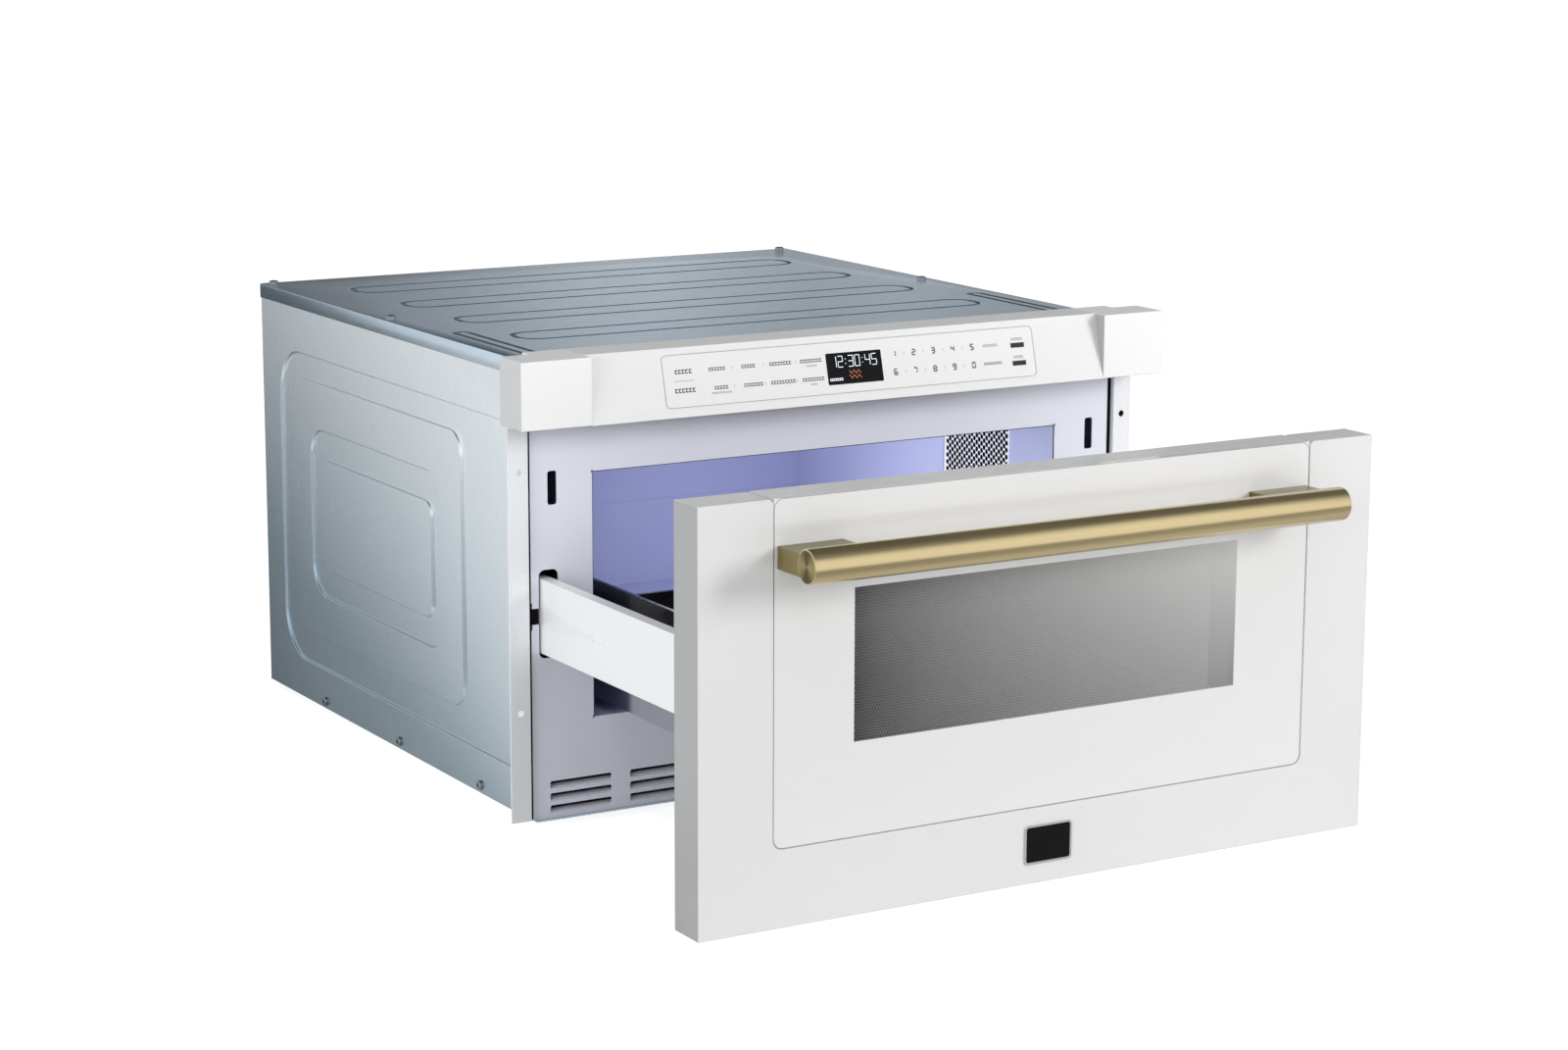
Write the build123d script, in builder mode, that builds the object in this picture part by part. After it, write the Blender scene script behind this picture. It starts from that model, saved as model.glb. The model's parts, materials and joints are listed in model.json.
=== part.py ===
from build123d import *
from math import ceil, floor, hypot, pi, radians, sin, tan
import os

# A built-in microwave drawer, with its drawer standing part open on its slides.
# X points right as one faces the front, Y into the cabinet, Z up. The origin lies on the
# underside of the casing, in the middle of its width, where the back of the mounting
# flanges meets the face of the cabinet. All lengths are millimetres.

# ------------------------------------------------------------------ driving sizes
# Casing
case_width = 555.0  # over the lips of the top cover
case_depth = 552.6  # from the cabinet face to the rear lip
case_height = 369.9
sheet = 1.0  # galvanised casing steel, front plate and oven walls
lip_height = 12.7  # down-turned edge of the top cover
seam_flange = 13.0  # turned edges that take the casing screws
press_depth = 2.5  # pressed bands and pads
base_overhang = 1.2  # base plate in front of the cabinet face
vent_length = 34.0
vent_height = 4.0
vent_pitch_x = 40.0
vent_pitch_z = 9.0
intake_columns = 3
intake_rows = 12
outlet_columns = 4
outlet_rows = 5

# Pressings of the side panels: a band open at the front, a field in it, a ring and an island
band_rear_margin = 39.6  # from the rear edge of the panel
band_low = 35.0
band_top_margin = 50.9  # below the top cover
band_corner = 44.0
field_front = 131.0
field_rear_inset = 28.0  # from the band
field_low_inset = 29.5
field_top_inset = 23.5
field_corner = 20.0
ring_front_inset = 37.0  # from the field
ring_rear_inset = 39.0
ring_low_inset = 38.5
ring_top_inset = 40.0
ring_corner = 28.0
island_front_inset = 22.4  # from the ring
island_rear_inset = 27.0
island_low_inset = 26.0
island_top_inset = 27.5
island_corner = 9.0

# Pressed pads of the top cover
pad_side_margin = 50.5
pad_front = 111.0
pad_depth = 45.5
pad_pitch = 109.0
pad_corner = 20.0
edge_pad_margin = 15.5
edge_pad_width = 16.5
edge_pad_front = 24.0
edge_pad_length = 158.0
edge_pad_corner = 7.0

# Front plate and mounting flanges
plate_setback = 3.2  # face of the front plate behind the cabinet face
plate_inset = 1.1  # edge of the front plate inside the side panel's outer face
side_setback = 6.0  # front edge of the side panels
flange_reach = 20.9  # outer edge of each flange beyond the side panel
flange_seam = 3.5  # inner edge of each flange beyond the side panel
flange_sheet = 1.2
flange_leg = 12.0  # behind the cabinet face, where the flange steps in to the side panel
flange_foot = 20.0  # on the side panel
flange_bottom = 2.0
flange_top_gap = 3.4  # under the control panel
flange_hole_radius = 2.75
flange_hole_inset = 9.1  # from the flange's outer edge
flange_hole_low = 91.0
flange_hole_drop = 35.7  # upper hole below the flange's top
rail_slot_inboard = 5.1  # play round the drawer's side member
rail_slot_outboard = 1.5
rail_slot_drop = 4.5
rail_slot_rise = 7.0
rail_slot_corner = 5.0
rail_notch_height = 13.0
louvre_length = 55.0
louvre_height = 6.5
louvre_depth = 5.0
louvre_gap = 2.6  # opening between the scoop and the upper edge of its slot
louvre_pitch = 72.0
louvre_start = 206.0  # near end of the outermost group
louvre_groups = 3
louvre_low = 11.0  # upper edge of the lowest row
louvre_row_pitch = 10.0
louvre_rows = 3

# Oven
rail_bay = 52.9  # between the oven wall and the side panel
oven_floor = 79.3
roof_space = 90.6  # over the oven, for the waveguide and the stirrer motor
oven_depth = 427.0
corner_relief = 1.3
grille_length = 105.0
grille_height = 80.0
grille_front = 67.0  # from the front plate
grille_drop = 9.0  # below the oven ceiling
grille_corner = 8.0
grille_margin = 6.0
grille_sheet = 0.8
grille_hole = 1.75
grille_pitch_y = 7.8
grille_pitch_z = 6.2

# Control panel
front_overhang = 25.5  # end blocks and drawer front, past each side of the top cover
panel_rise = 7.1  # above the top cover
panel_height = 53.6
panel_depth = 38.4  # in front of the cabinet face
panel_slope = 13.9  # the middle leans back by this much at its top
panel_tail = 12.5  # behind the cabinet face, over the top cover
panel_wall = 2.5
end_block_width = 61.0
touch_width = 351.0
touch_height = 42.2
touch_low = 7.5  # up the slope from the bottom edge
touch_corner = 4.0
touch_sheet = 0.6
touch_seam = 0.25
display_width = 52.4
display_height = 25.7
display_low = 14.8
display_depth = 8.0
board_width = 300.0
board_height = 36.0
board_sheet = 1.6

# Drawer front
open_travel = 277.6  # how far the drawer stands open here
closed_gap = 3.1  # back of the closed drawer front to the cabinet face
door_thickness = 35.3
door_reveal = 11.2  # gap under the control panel
door_drop = 6.2  # below the casing
door_wall = 1.5
stile_width = 61.9
bottom_rail = 59.6
stile_chamfer = 3.0
glass_corner = 8.0
glass_sheet = 4.0
glass_setback = 0.5
glass_gap = 0.3
window_width = 345.8
window_height = 115.2
window_low = 132.0  # from the bottom of the drawer front
collar_margin = 1.8
collar_wall = 3.0
mesh_sheet = 0.6
mesh_margin = 13.0
back_sheet = 1.2
choke_proud = 3.0
choke_band = 40.0
choke_clearance = 3.0
badge_width = 43.0
badge_height = 30.5
badge_low = 15.5  # from the bottom of the drawer front
badge_sheet = 1.2
badge_rim = 1.6
badge_corner = 3.5

# Handle
handle_length = 478.0
handle_diameter = 26.0
handle_standoff = 42.0  # bar axis in front of the drawer front
handle_drop = 41.7  # bar axis below the top of the drawer front
handle_end_chamfer = 0.8
bracket_width = 55.0
bracket_height = 17.0
bracket_inset = 1.0
bracket_seat = 0.1

# Slides, nested one in the other from the drawer's white side member inwards
member_gap = 7.5  # to the side panel
member_width = 10.5
member_height = 60.0
member_low = 137.0
member_length = 446.0
slide_wall = 1.2
slide_play = 0.3
slide_height = 49.4
rivet_radius = 2.6
rivet_front = 173.0  # behind the back of the drawer front
rivet_spacing = 21.1
inner_width = 8.0
middle_offset = 3.0
middle_width = 7.5
fixed_offset = 5.0
fixed_width = 6.2
inner_length = 420.0
middle_length = 400.0
fixed_length = 422.0
fixed_front_gap = 3.0
middle_setback = 12.0
bracket_length = 40.0
bracket_depth = 30.0
bracket_sheet = 1.5
bracket_front = 16.0
bracket_spacing = 320.0
full_travel = 384.0

# Drive
tooth_module = 1.0
pinion_teeth = 18
tooth_fill = 0.44  # share of the pitch that a tooth fills at the pitch line
tooth_angle = 20.0
rack_backing = 1.5
rack_width = 6.0
rack_inset = 4.0
pinion_setback = 25.8  # pinion axis behind the front plate
pinion_shaft_radius = 3.0
shaft_play = 0.05
motor_radius = 15.0
motor_length = 24.0
motor_gap = 6.0
motor_foot = 36.0
motor_foot_sheet = 2.0

# Tray
tray_side_gap = 16.6  # to the oven wall
tray_lift = 7.7  # above the oven floor
tray_length = 412.7
pan_height = 33.0
pan_wall = 1.2
basket_height = 97.0
basket_rear_height = 57.0
basket_wall = 3.0
ledge_width = 12.0
ledge_sheet = 4.0
floor_sheet = 6.0
floor_gap = 0.5
floor_corner = 6.0
glide_play = 0.3
glide_width = 40.0
glide_length = 30.0
glide_inset = 15.0

# Latches and interlocks
hook_thickness = 6.0
hook_inset = 20.5  # centre line from the edge of the top cover
hook_reach = 30.7
hook_height = 14.0
hook_barb = 4.0
hook_top_drop = 34.2  # below the top of the drawer front
latch_slot_play = 1.0  # beside each latch hook
latch_slot_rise = 4.7  # over the latch hook
latch_slot_drop = 4.3  # under its barb
slot_corner = 2.0
switch_height = 28.0
switch_length = 24.0
switch_width = 10.0
switch_setback = 6.0
plunger_proud = 3.7
plunger_radius = 2.2
plunger_depth = 8.0
plunger_gap = 0.3
bumper_radius = 6.0
bumper_height = 6.0
bumper_side_inset = 9.5  # from the edge of the top cover, clear of the mounting flanges
bumper_inset = 35.0  # from the bottom of the drawer front

# Fixings
screw_head_radius = 4.2
screw_head_height = 2.4
screw_radius = 1.9
screw_play = 0.1
top_screw_inset = 9.0
top_screw_rear = 546.0
top_screw_middle = 286.0
side_screw_height = 6.5
side_screw_front = 101.0
side_screw_spacing = 160.8

# Microwave source, stirrer, fan and electrics
guide_width = 96.0
guide_height = 38.0
guide_front = 150.0
guide_length = 370.0
guide_wall = 1.0
stirrer_y = 215.0
stirrer_port = 45.0
stirrer_radius = 62.0
stirrer_blade = 1.2
stirrer_gap = 4.0
stirrer_shaft_radius = 3.0
stirrer_motor_radius = 24.0
stirrer_motor_height = 20.0
cover_size = 150.0
cover_height = 14.0
cover_wall = 1.5
magnetron_width = 84.0
magnetron_depth = 62.0
magnetron_height = 85.0
magnetron_gap = 13.0
magnetron_fins = 7
fin_sheet = 1.2
yoke_sheet = 2.0
antenna_radius = 9.0
antenna_height = 22.0
fan_x = 150.0
fan_z = 180.0
fan_radius = 58.0
fan_tip_gap = 1.5
fan_ring_wall = 4.0
fan_ring_depth = 40.0
fan_blades = 7
fan_blade_depth = 22.0
fan_blade_sheet = 1.6
fan_blade_angle = 32.0
fan_hub_radius = 17.0
fan_motor_radius = 22.0
fan_motor_length = 36.0
fan_shaft_radius = 2.5
fan_arm = 8.0
transformer_x = -165.0
transformer_y = 490.0
core_width = 92.0
core_depth = 74.0
core_height = 80.0
core_window = 18.0
coil_bulge = 12.0
capacitor_x = -70.0
capacitor_width = 50.0
capacitor_depth = 32.0
capacitor_height = 92.0
capacitor_foot = 2.0
gland_x = -165.0
gland_z = 190.0
gland_radius = 11.0
gland_bore = 4.0
gland_length = 18.0
gland_collar = 3.0
filter_width = 100.0
filter_height = 80.0
filter_rise = 260.0
filter_standoff = 12.0
lamp_length = 80.0
lamp_height = 60.0
lamp_gap = 2.0  # to the fixed rail's inner face
lamp_wall = 1.5
bulb_radius = 12.0
bulb_length = 20.0
socket_radius = 9.0
socket_length = 6.0

# ------------------------------------------------------------------ places worked out
lip_outer = case_width / 2
side_outer = lip_outer - sheet
side_inner = side_outer - sheet
back_outer = case_depth - sheet
back_inner = back_outer - sheet
cover_under = case_height - sheet
plate_front = plate_setback
plate_back = plate_front + sheet
plate_half = side_outer - plate_inset
flange_inner = side_outer + flange_seam
flange_outer = side_outer + flange_reach

oven_outer = side_inner - rail_bay
oven_half = oven_outer - sheet
oven_ceiling = case_height - roof_space
oven_roof = oven_ceiling + sheet
oven_back = plate_back + oven_depth
oven_rear = oven_back + sheet

front_half = lip_outer + front_overhang
panel_top = case_height + panel_rise
panel_bottom = panel_top - panel_height
block_inner = front_half - end_block_width
flange_z = (flange_bottom, panel_bottom - flange_top_gap)
slope_length = hypot(panel_slope, panel_height)
slope_lean = panel_wall * slope_length / panel_height

door_back = -closed_gap - open_travel
door_face = door_back - door_thickness
door_top = panel_bottom - door_reveal
door_bottom = -door_drop
glass_half = front_half - stile_width
glass_low = door_bottom + bottom_rail
glass_face = door_face + glass_setback
glass_back = glass_face + glass_sheet
window_bottom = door_bottom + window_low
window_top = window_bottom + window_height

member_outer = side_inner - member_gap
member_middle = member_low + member_height / 2
member_top = member_low + member_height
middle_height = slide_height - 2 * (slide_wall + slide_play)
fixed_height = middle_height - 2 * (slide_wall + slide_play)
fixed_inner = member_outer - fixed_offset - fixed_width

tray_half = oven_half - tray_side_gap
tray_bottom = oven_floor + tray_lift
tray_rear = door_back + tray_length
pan_top = tray_bottom + pan_height
basket_top = tray_bottom + basket_height

handle_y = door_face - handle_standoff
handle_z = door_top - handle_drop
hook_x = lip_outer - hook_inset
hook_top = door_top - hook_top_drop
hook_low = hook_top - hook_height - hook_barb


def box_between(x, y, z, mode=Mode.ADD):
    """A box between two corners, given as a pair of limits along each axis."""
    with Locations(((x[0] + x[1]) / 2, (y[0] + y[1]) / 2, (z[0] + z[1]) / 2)):
        Box(abs(x[1] - x[0]), abs(y[1] - y[0]), abs(z[1] - z[0]), mode=mode)


def rectangle_between(u, v, corner=0.0, mode=Mode.ADD):
    """A rectangle between two corners of the sketch plane, its corners rounded if asked."""
    with Locations(((u[0] + u[1]) / 2, (v[0] + v[1]) / 2)):
        if corner > 0:
            RectangleRounded(abs(u[1] - u[0]), abs(v[1] - v[0]), corner, mode=mode)
        else:
            Rectangle(abs(u[1] - u[0]), abs(v[1] - v[0]), mode=mode)


def pair(sign, low, high):
    """The limits of a span on the left (sign -1) or right (sign 1) side, in rising order."""
    return (low, high) if sign > 0 else (-high, -low)


def save(part, name):
    """Label a finished piece and write it."""
    part.label = name
    export_step(part, f"parts/{name}.step")


def outline_grown(limits, corner, grow, mode=Mode.ADD):
    """A rounded outline of the sketch plane, grown by a margin on all sides."""
    u, v = limits
    rectangle_between((u[0] - grow, u[1] + grow), (v[0] - grow, v[1] + grow), corner + grow, mode)


def inset(limits, low, high):
    """Limits drawn in by a margin at each end."""
    return (limits[0] + low, limits[1] - high)


os.makedirs("parts", exist_ok=True)
sides = (("left", -1), ("right", 1))

# ------------------------------------------------------------------ casing
top_screws = [
    (sign * (side_inner - top_screw_inset), y)
    for sign in (-1, 1)
    for y in (top_screw_middle, top_screw_rear)
]
side_screws = [side_screw_front + step * side_screw_spacing for step in range(3)]

with BuildPart() as base_plate:
    box_between((-side_inner, side_inner), (-base_overhang, back_inner), (0, sheet))
    for sign in (-1, 1):
        box_between(
            pair(sign, side_inner - sheet, side_inner), (side_setback, back_inner), (sheet, seam_flange)
        )
        for y in side_screws:
            with Locations(Location((sign * side_inner, y, side_screw_height), (0, 90, 0))):
                Cylinder(screw_radius + screw_play, 4 * sheet, mode=Mode.SUBTRACT)
    box_between(
        (-side_inner + sheet, side_inner - sheet), (back_inner - sheet, back_inner), (sheet, seam_flange)
    )
save(base_plate.part, "base_plate")

# Limits of the side panels' pressings, along Y and Z
band = ((side_setback, back_outer - band_rear_margin), (band_low, cover_under - band_top_margin))
field = (
    (field_front, band[0][1] - field_rear_inset),
    inset(band[1], field_low_inset, field_top_inset),
)
ring = (
    inset(field[0], ring_front_inset, ring_rear_inset),
    inset(field[1], ring_low_inset, ring_top_inset),
)
island = (
    inset(ring[0], island_front_inset, island_rear_inset),
    inset(ring[1], island_low_inset, island_top_inset),
)

for side, sign in sides:
    with BuildPart() as side_panel:
        box_between((side_inner, side_outer), (side_setback, back_outer), (0, cover_under))
        box_between(
            (side_inner - seam_flange, side_inner),
            (side_setback, back_outer),
            (cover_under - sheet, cover_under),
        )
        # The wide band runs out at the front edge; the ring inside it is closed. Each is cut
        # from outside and backed inside by the same outline, grown by the sheet.
        for grow, amount, start, mode in (
            (sheet, press_depth, side_inner, Mode.ADD),
            (0.0, press_depth, side_outer, Mode.SUBTRACT),
        ):
            with BuildSketch(Plane.YZ.offset(start)) as wide_band:
                rectangle_between(inset(band[0], 0, -grow), inset(band[1], -grow, -grow))
                fillet(wide_band.vertices().group_by(Axis.X)[-1], band_corner + grow)
                outline_grown(field, field_corner, -grow, Mode.SUBTRACT)
            extrude(amount=-amount, mode=mode)
            with BuildSketch(Plane.YZ.offset(start)):
                outline_grown(ring, ring_corner, grow)
                outline_grown(island, island_corner, -grow, Mode.SUBTRACT)
            extrude(amount=-amount, mode=mode)
        for y in side_screws:
            with Locations(Location((side_inner, y, side_screw_height), (0, 90, 0))):
                Cylinder(screw_radius + screw_play, 4 * sheet, mode=Mode.SUBTRACT)
        for x, y in top_screws:
            with Locations((abs(x), y, cover_under)):
                Cylinder(screw_radius + screw_play, 4 * sheet, mode=Mode.SUBTRACT)
    if sign < 0:
        side_panel.part = mirror(side_panel.part, about=Plane.YZ)
    save(side_panel.part, f"side_panel_{side}")

# Limits of the top cover's pads, along X and Y
pad_count = floor((back_outer - pad_front - pad_depth) / pad_pitch) + 1
pad_x = (-side_outer + pad_side_margin, side_outer - pad_side_margin)
pad_starts = [pad_front + step * pad_pitch for step in range(pad_count)]
edge_pad_outer = side_outer - edge_pad_margin
edge_pad_y = (edge_pad_front, edge_pad_front + edge_pad_length)

with BuildPart() as top_cover:
    box_between((-lip_outer, lip_outer), (plate_front, case_depth), (cover_under, case_height))
    for sign in (-1, 1):
        box_between(
            pair(sign, side_outer, lip_outer),
            (plate_front, case_depth),
            (case_height - lip_height, cover_under),
        )
    box_between(
        (-side_outer, side_outer), (back_outer, case_depth), (case_height - lip_height, cover_under)
    )
    for grow, start, mode in ((sheet, cover_under, Mode.ADD), (0.0, case_height, Mode.SUBTRACT)):
        with BuildSketch(Plane.XY.offset(start)):
            for start_y in pad_starts:
                outline_grown((pad_x, (start_y, start_y + pad_depth)), pad_corner, grow)
            for sign in (-1, 1):
                edge_pad_x = pair(sign, edge_pad_outer - edge_pad_width, edge_pad_outer)
                outline_grown((edge_pad_x, edge_pad_y), edge_pad_corner, grow)
        extrude(amount=-press_depth, mode=mode)
    for x, y in top_screws:
        with Locations((x, y, cover_under)):
            Cylinder(screw_radius + screw_play, 4 * sheet, mode=Mode.SUBTRACT)
save(top_cover.part, "top_cover")

# Back panel: intake slots behind the fan, outlet slots on the other side, a hole for the gland
with BuildPart() as back_panel:
    box_between((-side_inner, side_inner), (back_inner, back_outer), (sheet, cover_under - sheet))
    with BuildSketch(Plane.XZ.offset(-back_outer)) as vents:
        with Locations((fan_x, fan_z)):
            with GridLocations(vent_pitch_x, vent_pitch_z, intake_columns, intake_rows):
                SlotOverall(vent_length, vent_height)
        with Locations((gland_x, oven_roof + vent_pitch_x)):
            with GridLocations(vent_pitch_x, vent_pitch_z, outlet_columns, outlet_rows):
                SlotOverall(vent_length, vent_height)
        with Locations((gland_x, gland_z)):
            Circle(gland_radius)
    extrude(amount=sheet, both=True, mode=Mode.SUBTRACT)
save(back_panel.part, "back_panel")

# ------------------------------------------------------------------ front plate
rail_slot_x = (member_outer - member_width - rail_slot_inboard, member_outer + rail_slot_outboard)
rail_slot_z = (member_low - rail_slot_drop, member_top + rail_slot_rise)
rail_notch_z = (member_middle - rail_notch_height / 2, member_middle + rail_notch_height / 2)
latch_slot_z = (hook_low - latch_slot_drop, hook_top + latch_slot_rise)
latch_slot_half = hook_thickness / 2 + latch_slot_play
louvre_x = [louvre_start - group * louvre_pitch for group in range(louvre_groups)]
louvre_tops = [louvre_low + row * louvre_row_pitch for row in range(louvre_rows)]

with BuildPart() as front_plate:
    box_between((-plate_half, plate_half), (plate_front, plate_back), (sheet, cover_under))
    with BuildSketch(Plane.XZ.offset(-plate_back)) as openings:
        rectangle_between((-oven_half, oven_half), (oven_floor, oven_ceiling))
        for x in (-oven_half, oven_half):
            for z in (oven_floor, oven_ceiling):
                with Locations((x, z)):
                    Circle(corner_relief)
        for sign in (-1, 1):
            latch_slot_x = (sign * hook_x - latch_slot_half, sign * hook_x + latch_slot_half)
            rectangle_between(latch_slot_x, latch_slot_z, slot_corner)
            rectangle_between(pair(sign, *rail_slot_x), rail_slot_z, rail_slot_corner)
            rectangle_between(pair(sign, rail_slot_x[1] - sheet, plate_half + sheet), rail_notch_z)
            for start in louvre_x:
                for top in louvre_tops:
                    slot_z = (top - louvre_height, top)
                    rectangle_between(
                        pair(sign, start, start + louvre_length), slot_z, louvre_height / 4
                    )
    extrude(amount=2 * sheet, both=True, mode=Mode.SUBTRACT)
    # Each louvre is a scoop: its floor rises inwards from the lower edge of the slot.
    for sign in (-1, 1):
        for start in louvre_x:
            scoop_x = pair(sign, start - sheet, start + louvre_length + sheet)
            for top in louvre_tops:
                low = top - louvre_height
                with BuildSketch(Plane.YZ.offset(scoop_x[0])):
                    with BuildLine():
                        Polyline(
                            (plate_front, low - sheet),
                            (plate_back, low - sheet),
                            (plate_back + louvre_depth, top - louvre_gap - sheet),
                            (plate_back + louvre_depth, top - louvre_gap),
                            (plate_front, low),
                            close=True,
                        )
                    make_face()
                extrude(amount=scoop_x[1] - scoop_x[0])
save(front_plate.part, "front_plate")

for side, sign in sides:
    with BuildPart() as mounting_flange:
        box_between(pair(sign, flange_inner, flange_outer), (-flange_sheet, 0), flange_z)
        box_between(pair(sign, flange_inner, flange_inner + flange_sheet), (0, flange_leg), flange_z)
        box_between(
            pair(sign, side_outer, flange_inner + flange_sheet),
            (flange_leg, flange_leg + flange_sheet),
            flange_z,
        )
        box_between(
            pair(sign, side_outer, side_outer + flange_sheet),
            (flange_leg, flange_leg + flange_foot),
            flange_z,
        )
        hole_x = sign * (flange_outer - flange_hole_inset)
        with BuildSketch(Plane.XZ):
            with Locations((hole_x, flange_hole_low), (hole_x, flange_z[1] - flange_hole_drop)):
                Circle(flange_hole_radius)
        extrude(amount=2 * flange_sheet, mode=Mode.SUBTRACT)
    save(mounting_flange.part, f"mounting_flange_{side}")

# ------------------------------------------------------------------ oven
grille_y = (plate_back + grille_front, plate_back + grille_front + grille_length)
grille_z = (oven_ceiling - grille_drop - grille_height, oven_ceiling - grille_drop)

with BuildPart() as oven_cavity:
    box_between((-oven_outer, oven_outer), (plate_back, oven_rear), (oven_floor - sheet, oven_roof))
    box_between(
        (-oven_half, oven_half), (plate_back, oven_back), (oven_floor, oven_ceiling), Mode.SUBTRACT
    )
    with Locations((0, stirrer_y, oven_roof)):
        Cylinder(stirrer_port, 4 * sheet, mode=Mode.SUBTRACT)
    with BuildSketch(Plane.YZ.offset(oven_half)):
        rectangle_between(grille_y, grille_z, grille_corner)
    extrude(amount=2 * sheet, mode=Mode.SUBTRACT)
save(oven_cavity.part, "oven_cavity")

with BuildPart() as lamp_grille:
    with BuildSketch(Plane.YZ.offset(oven_outer)):
        outline_grown((grille_y, grille_z), grille_corner, grille_margin)
        columns = floor(grille_length / grille_pitch_y) - 1
        rows = floor(grille_height / grille_pitch_z) - 1
        centre = ((grille_y[0] + grille_y[1]) / 2, (grille_z[0] + grille_z[1]) / 2)
        with Locations(centre):
            with GridLocations(grille_pitch_y, grille_pitch_z, columns, rows):
                Circle(grille_hole, mode=Mode.SUBTRACT)
            with GridLocations(grille_pitch_y, grille_pitch_z, columns + 1, rows + 1):
                Circle(grille_hole, mode=Mode.SUBTRACT)
    extrude(amount=grille_sheet)
save(lamp_grille.part, "lamp_grille")

with BuildPart() as stirrer_cover:
    cover_y = (stirrer_y - cover_size / 2, stirrer_y + cover_size / 2)
    cover_x = (-cover_size / 2, cover_size / 2)
    box_between(cover_x, cover_y, (oven_ceiling - cover_height, oven_ceiling))
    fillet(stirrer_cover.edges().filter_by(Axis.Z), cover_wall * 4)
    box_between(
        (cover_x[0] + cover_wall, cover_x[1] - cover_wall),
        (cover_y[0] + cover_wall, cover_y[1] - cover_wall),
        (oven_ceiling - cover_height + cover_wall, oven_ceiling),
        Mode.SUBTRACT,
    )
save(stirrer_cover.part, "stirrer_cover")

# ------------------------------------------------------------------ microwave source
guide_top = oven_roof + guide_height
guide_y = (guide_front, guide_front + guide_length)
guide_x = (-guide_width / 2, guide_width / 2)
magnetron_y = oven_rear + magnetron_gap + magnetron_depth / 2

with BuildPart() as waveguide:
    box_between(guide_x, guide_y, (oven_roof, guide_top))
    box_between(
        (guide_x[0] + guide_wall, guide_x[1] - guide_wall),
        (guide_y[0] + guide_wall, guide_y[1] - guide_wall),
        (oven_roof + guide_wall, guide_top - guide_wall),
        Mode.SUBTRACT,
    )
    with Locations((0, stirrer_y, oven_roof)):
        Cylinder(stirrer_port, 4 * guide_wall, mode=Mode.SUBTRACT)
    with Locations((0, stirrer_y, guide_top)):
        Cylinder(stirrer_shaft_radius + shaft_play, 4 * guide_wall, mode=Mode.SUBTRACT)
    with Locations((0, magnetron_y, oven_roof)):
        Cylinder(antenna_radius + slide_play, 4 * guide_wall, mode=Mode.SUBTRACT)
save(waveguide.part, "waveguide")

magnetron_x = (-magnetron_width / 2, magnetron_width / 2)
with BuildPart() as magnetron:
    z_low = oven_roof - magnetron_height
    y_span = (magnetron_y - magnetron_depth / 2, magnetron_y + magnetron_depth / 2)
    box_between(magnetron_x, y_span, (z_low, oven_roof))
    box_between(
        (magnetron_x[0] + yoke_sheet, magnetron_x[1] - yoke_sheet),
        y_span,
        (z_low + yoke_sheet, oven_roof - yoke_sheet),
        Mode.SUBTRACT,
    )
    with Locations((0, magnetron_y, z_low + magnetron_height / 2)):
        Cylinder(magnetron_depth / 3, magnetron_height)
    fin_pitch = (magnetron_height - 2 * yoke_sheet) / (magnetron_fins + 1)
    for step in range(magnetron_fins):
        z = z_low + yoke_sheet + fin_pitch * (step + 1)
        box_between(magnetron_x, y_span, (z - fin_sheet / 2, z + fin_sheet / 2))
    with Locations((0, magnetron_y, oven_roof + antenna_height / 2)):
        Cylinder(antenna_radius, antenna_height)
    fillet(magnetron.edges().group_by(Axis.Z)[-1], antenna_radius / 3)
    box_between(
        (-antenna_radius * 2, antenna_radius * 2),
        (y_span[0] + fin_pitch, y_span[1] - fin_pitch),
        (z_low - fin_pitch * 2, z_low),
    )
save(magnetron.part, "magnetron")

with BuildPart() as transformer_core:
    core_x = (transformer_x - core_width / 2, transformer_x + core_width / 2)
    core_y = (transformer_y - core_depth / 2, transformer_y + core_depth / 2)
    box_between(core_x, core_y, (sheet, sheet + core_height))
    limb = (core_width - 2 * core_window) / 4
    for sign in (-1, 1):
        window = pair(sign, limb, limb + core_window)
        box_between(
            (transformer_x + window[0], transformer_x + window[1]),
            core_y,
            (sheet + limb, sheet + core_height - limb),
            Mode.SUBTRACT,
        )
    chamfer(transformer_core.edges().filter_by(Axis.Y).group_by(Axis.Z)[-1], sheet)
save(transformer_core.part, "transformer_core")

with BuildPart() as transformer_windings:
    coil_x = limb + core_window - slide_play
    coil_y = core_depth / 2 + coil_bulge
    coil_z = (sheet + limb + slide_play, sheet + core_height - limb - slide_play)
    box_between(
        (transformer_x - coil_x, transformer_x + coil_x),
        (transformer_y - coil_y, transformer_y + coil_y),
        coil_z,
    )
    fillet(transformer_windings.edges().filter_by(Axis.Z), coil_bulge)
    box_between(
        (transformer_x - limb - slide_play, transformer_x + limb + slide_play),
        (core_y[0] - slide_play, core_y[1] + slide_play),
        coil_z,
        Mode.SUBTRACT,
    )
save(transformer_windings.part, "transformer_windings")

with BuildPart() as capacitor:
    with BuildSketch(Plane.XY.offset(sheet)):
        with Locations((capacitor_x, transformer_y)):
            SlotOverall(capacitor_width, capacitor_depth)
    extrude(amount=capacitor_height)
    fillet(capacitor.edges().group_by(Axis.Z)[-1], capacitor_foot)
    with BuildSketch(Plane.XY.offset(sheet)):
        with Locations((capacitor_x, transformer_y)):
            Rectangle(capacitor_width + capacitor_depth / 2, capacitor_depth / 2)
    extrude(amount=capacitor_foot)
    with Locations((capacitor_x, transformer_y, sheet + capacitor_height)):
        with GridLocations(capacitor_width / 2, 0, 2, 1):
            Box(capacitor_foot * 3, sheet, capacitor_foot * 10)
save(capacitor.part, "capacitor")

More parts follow.
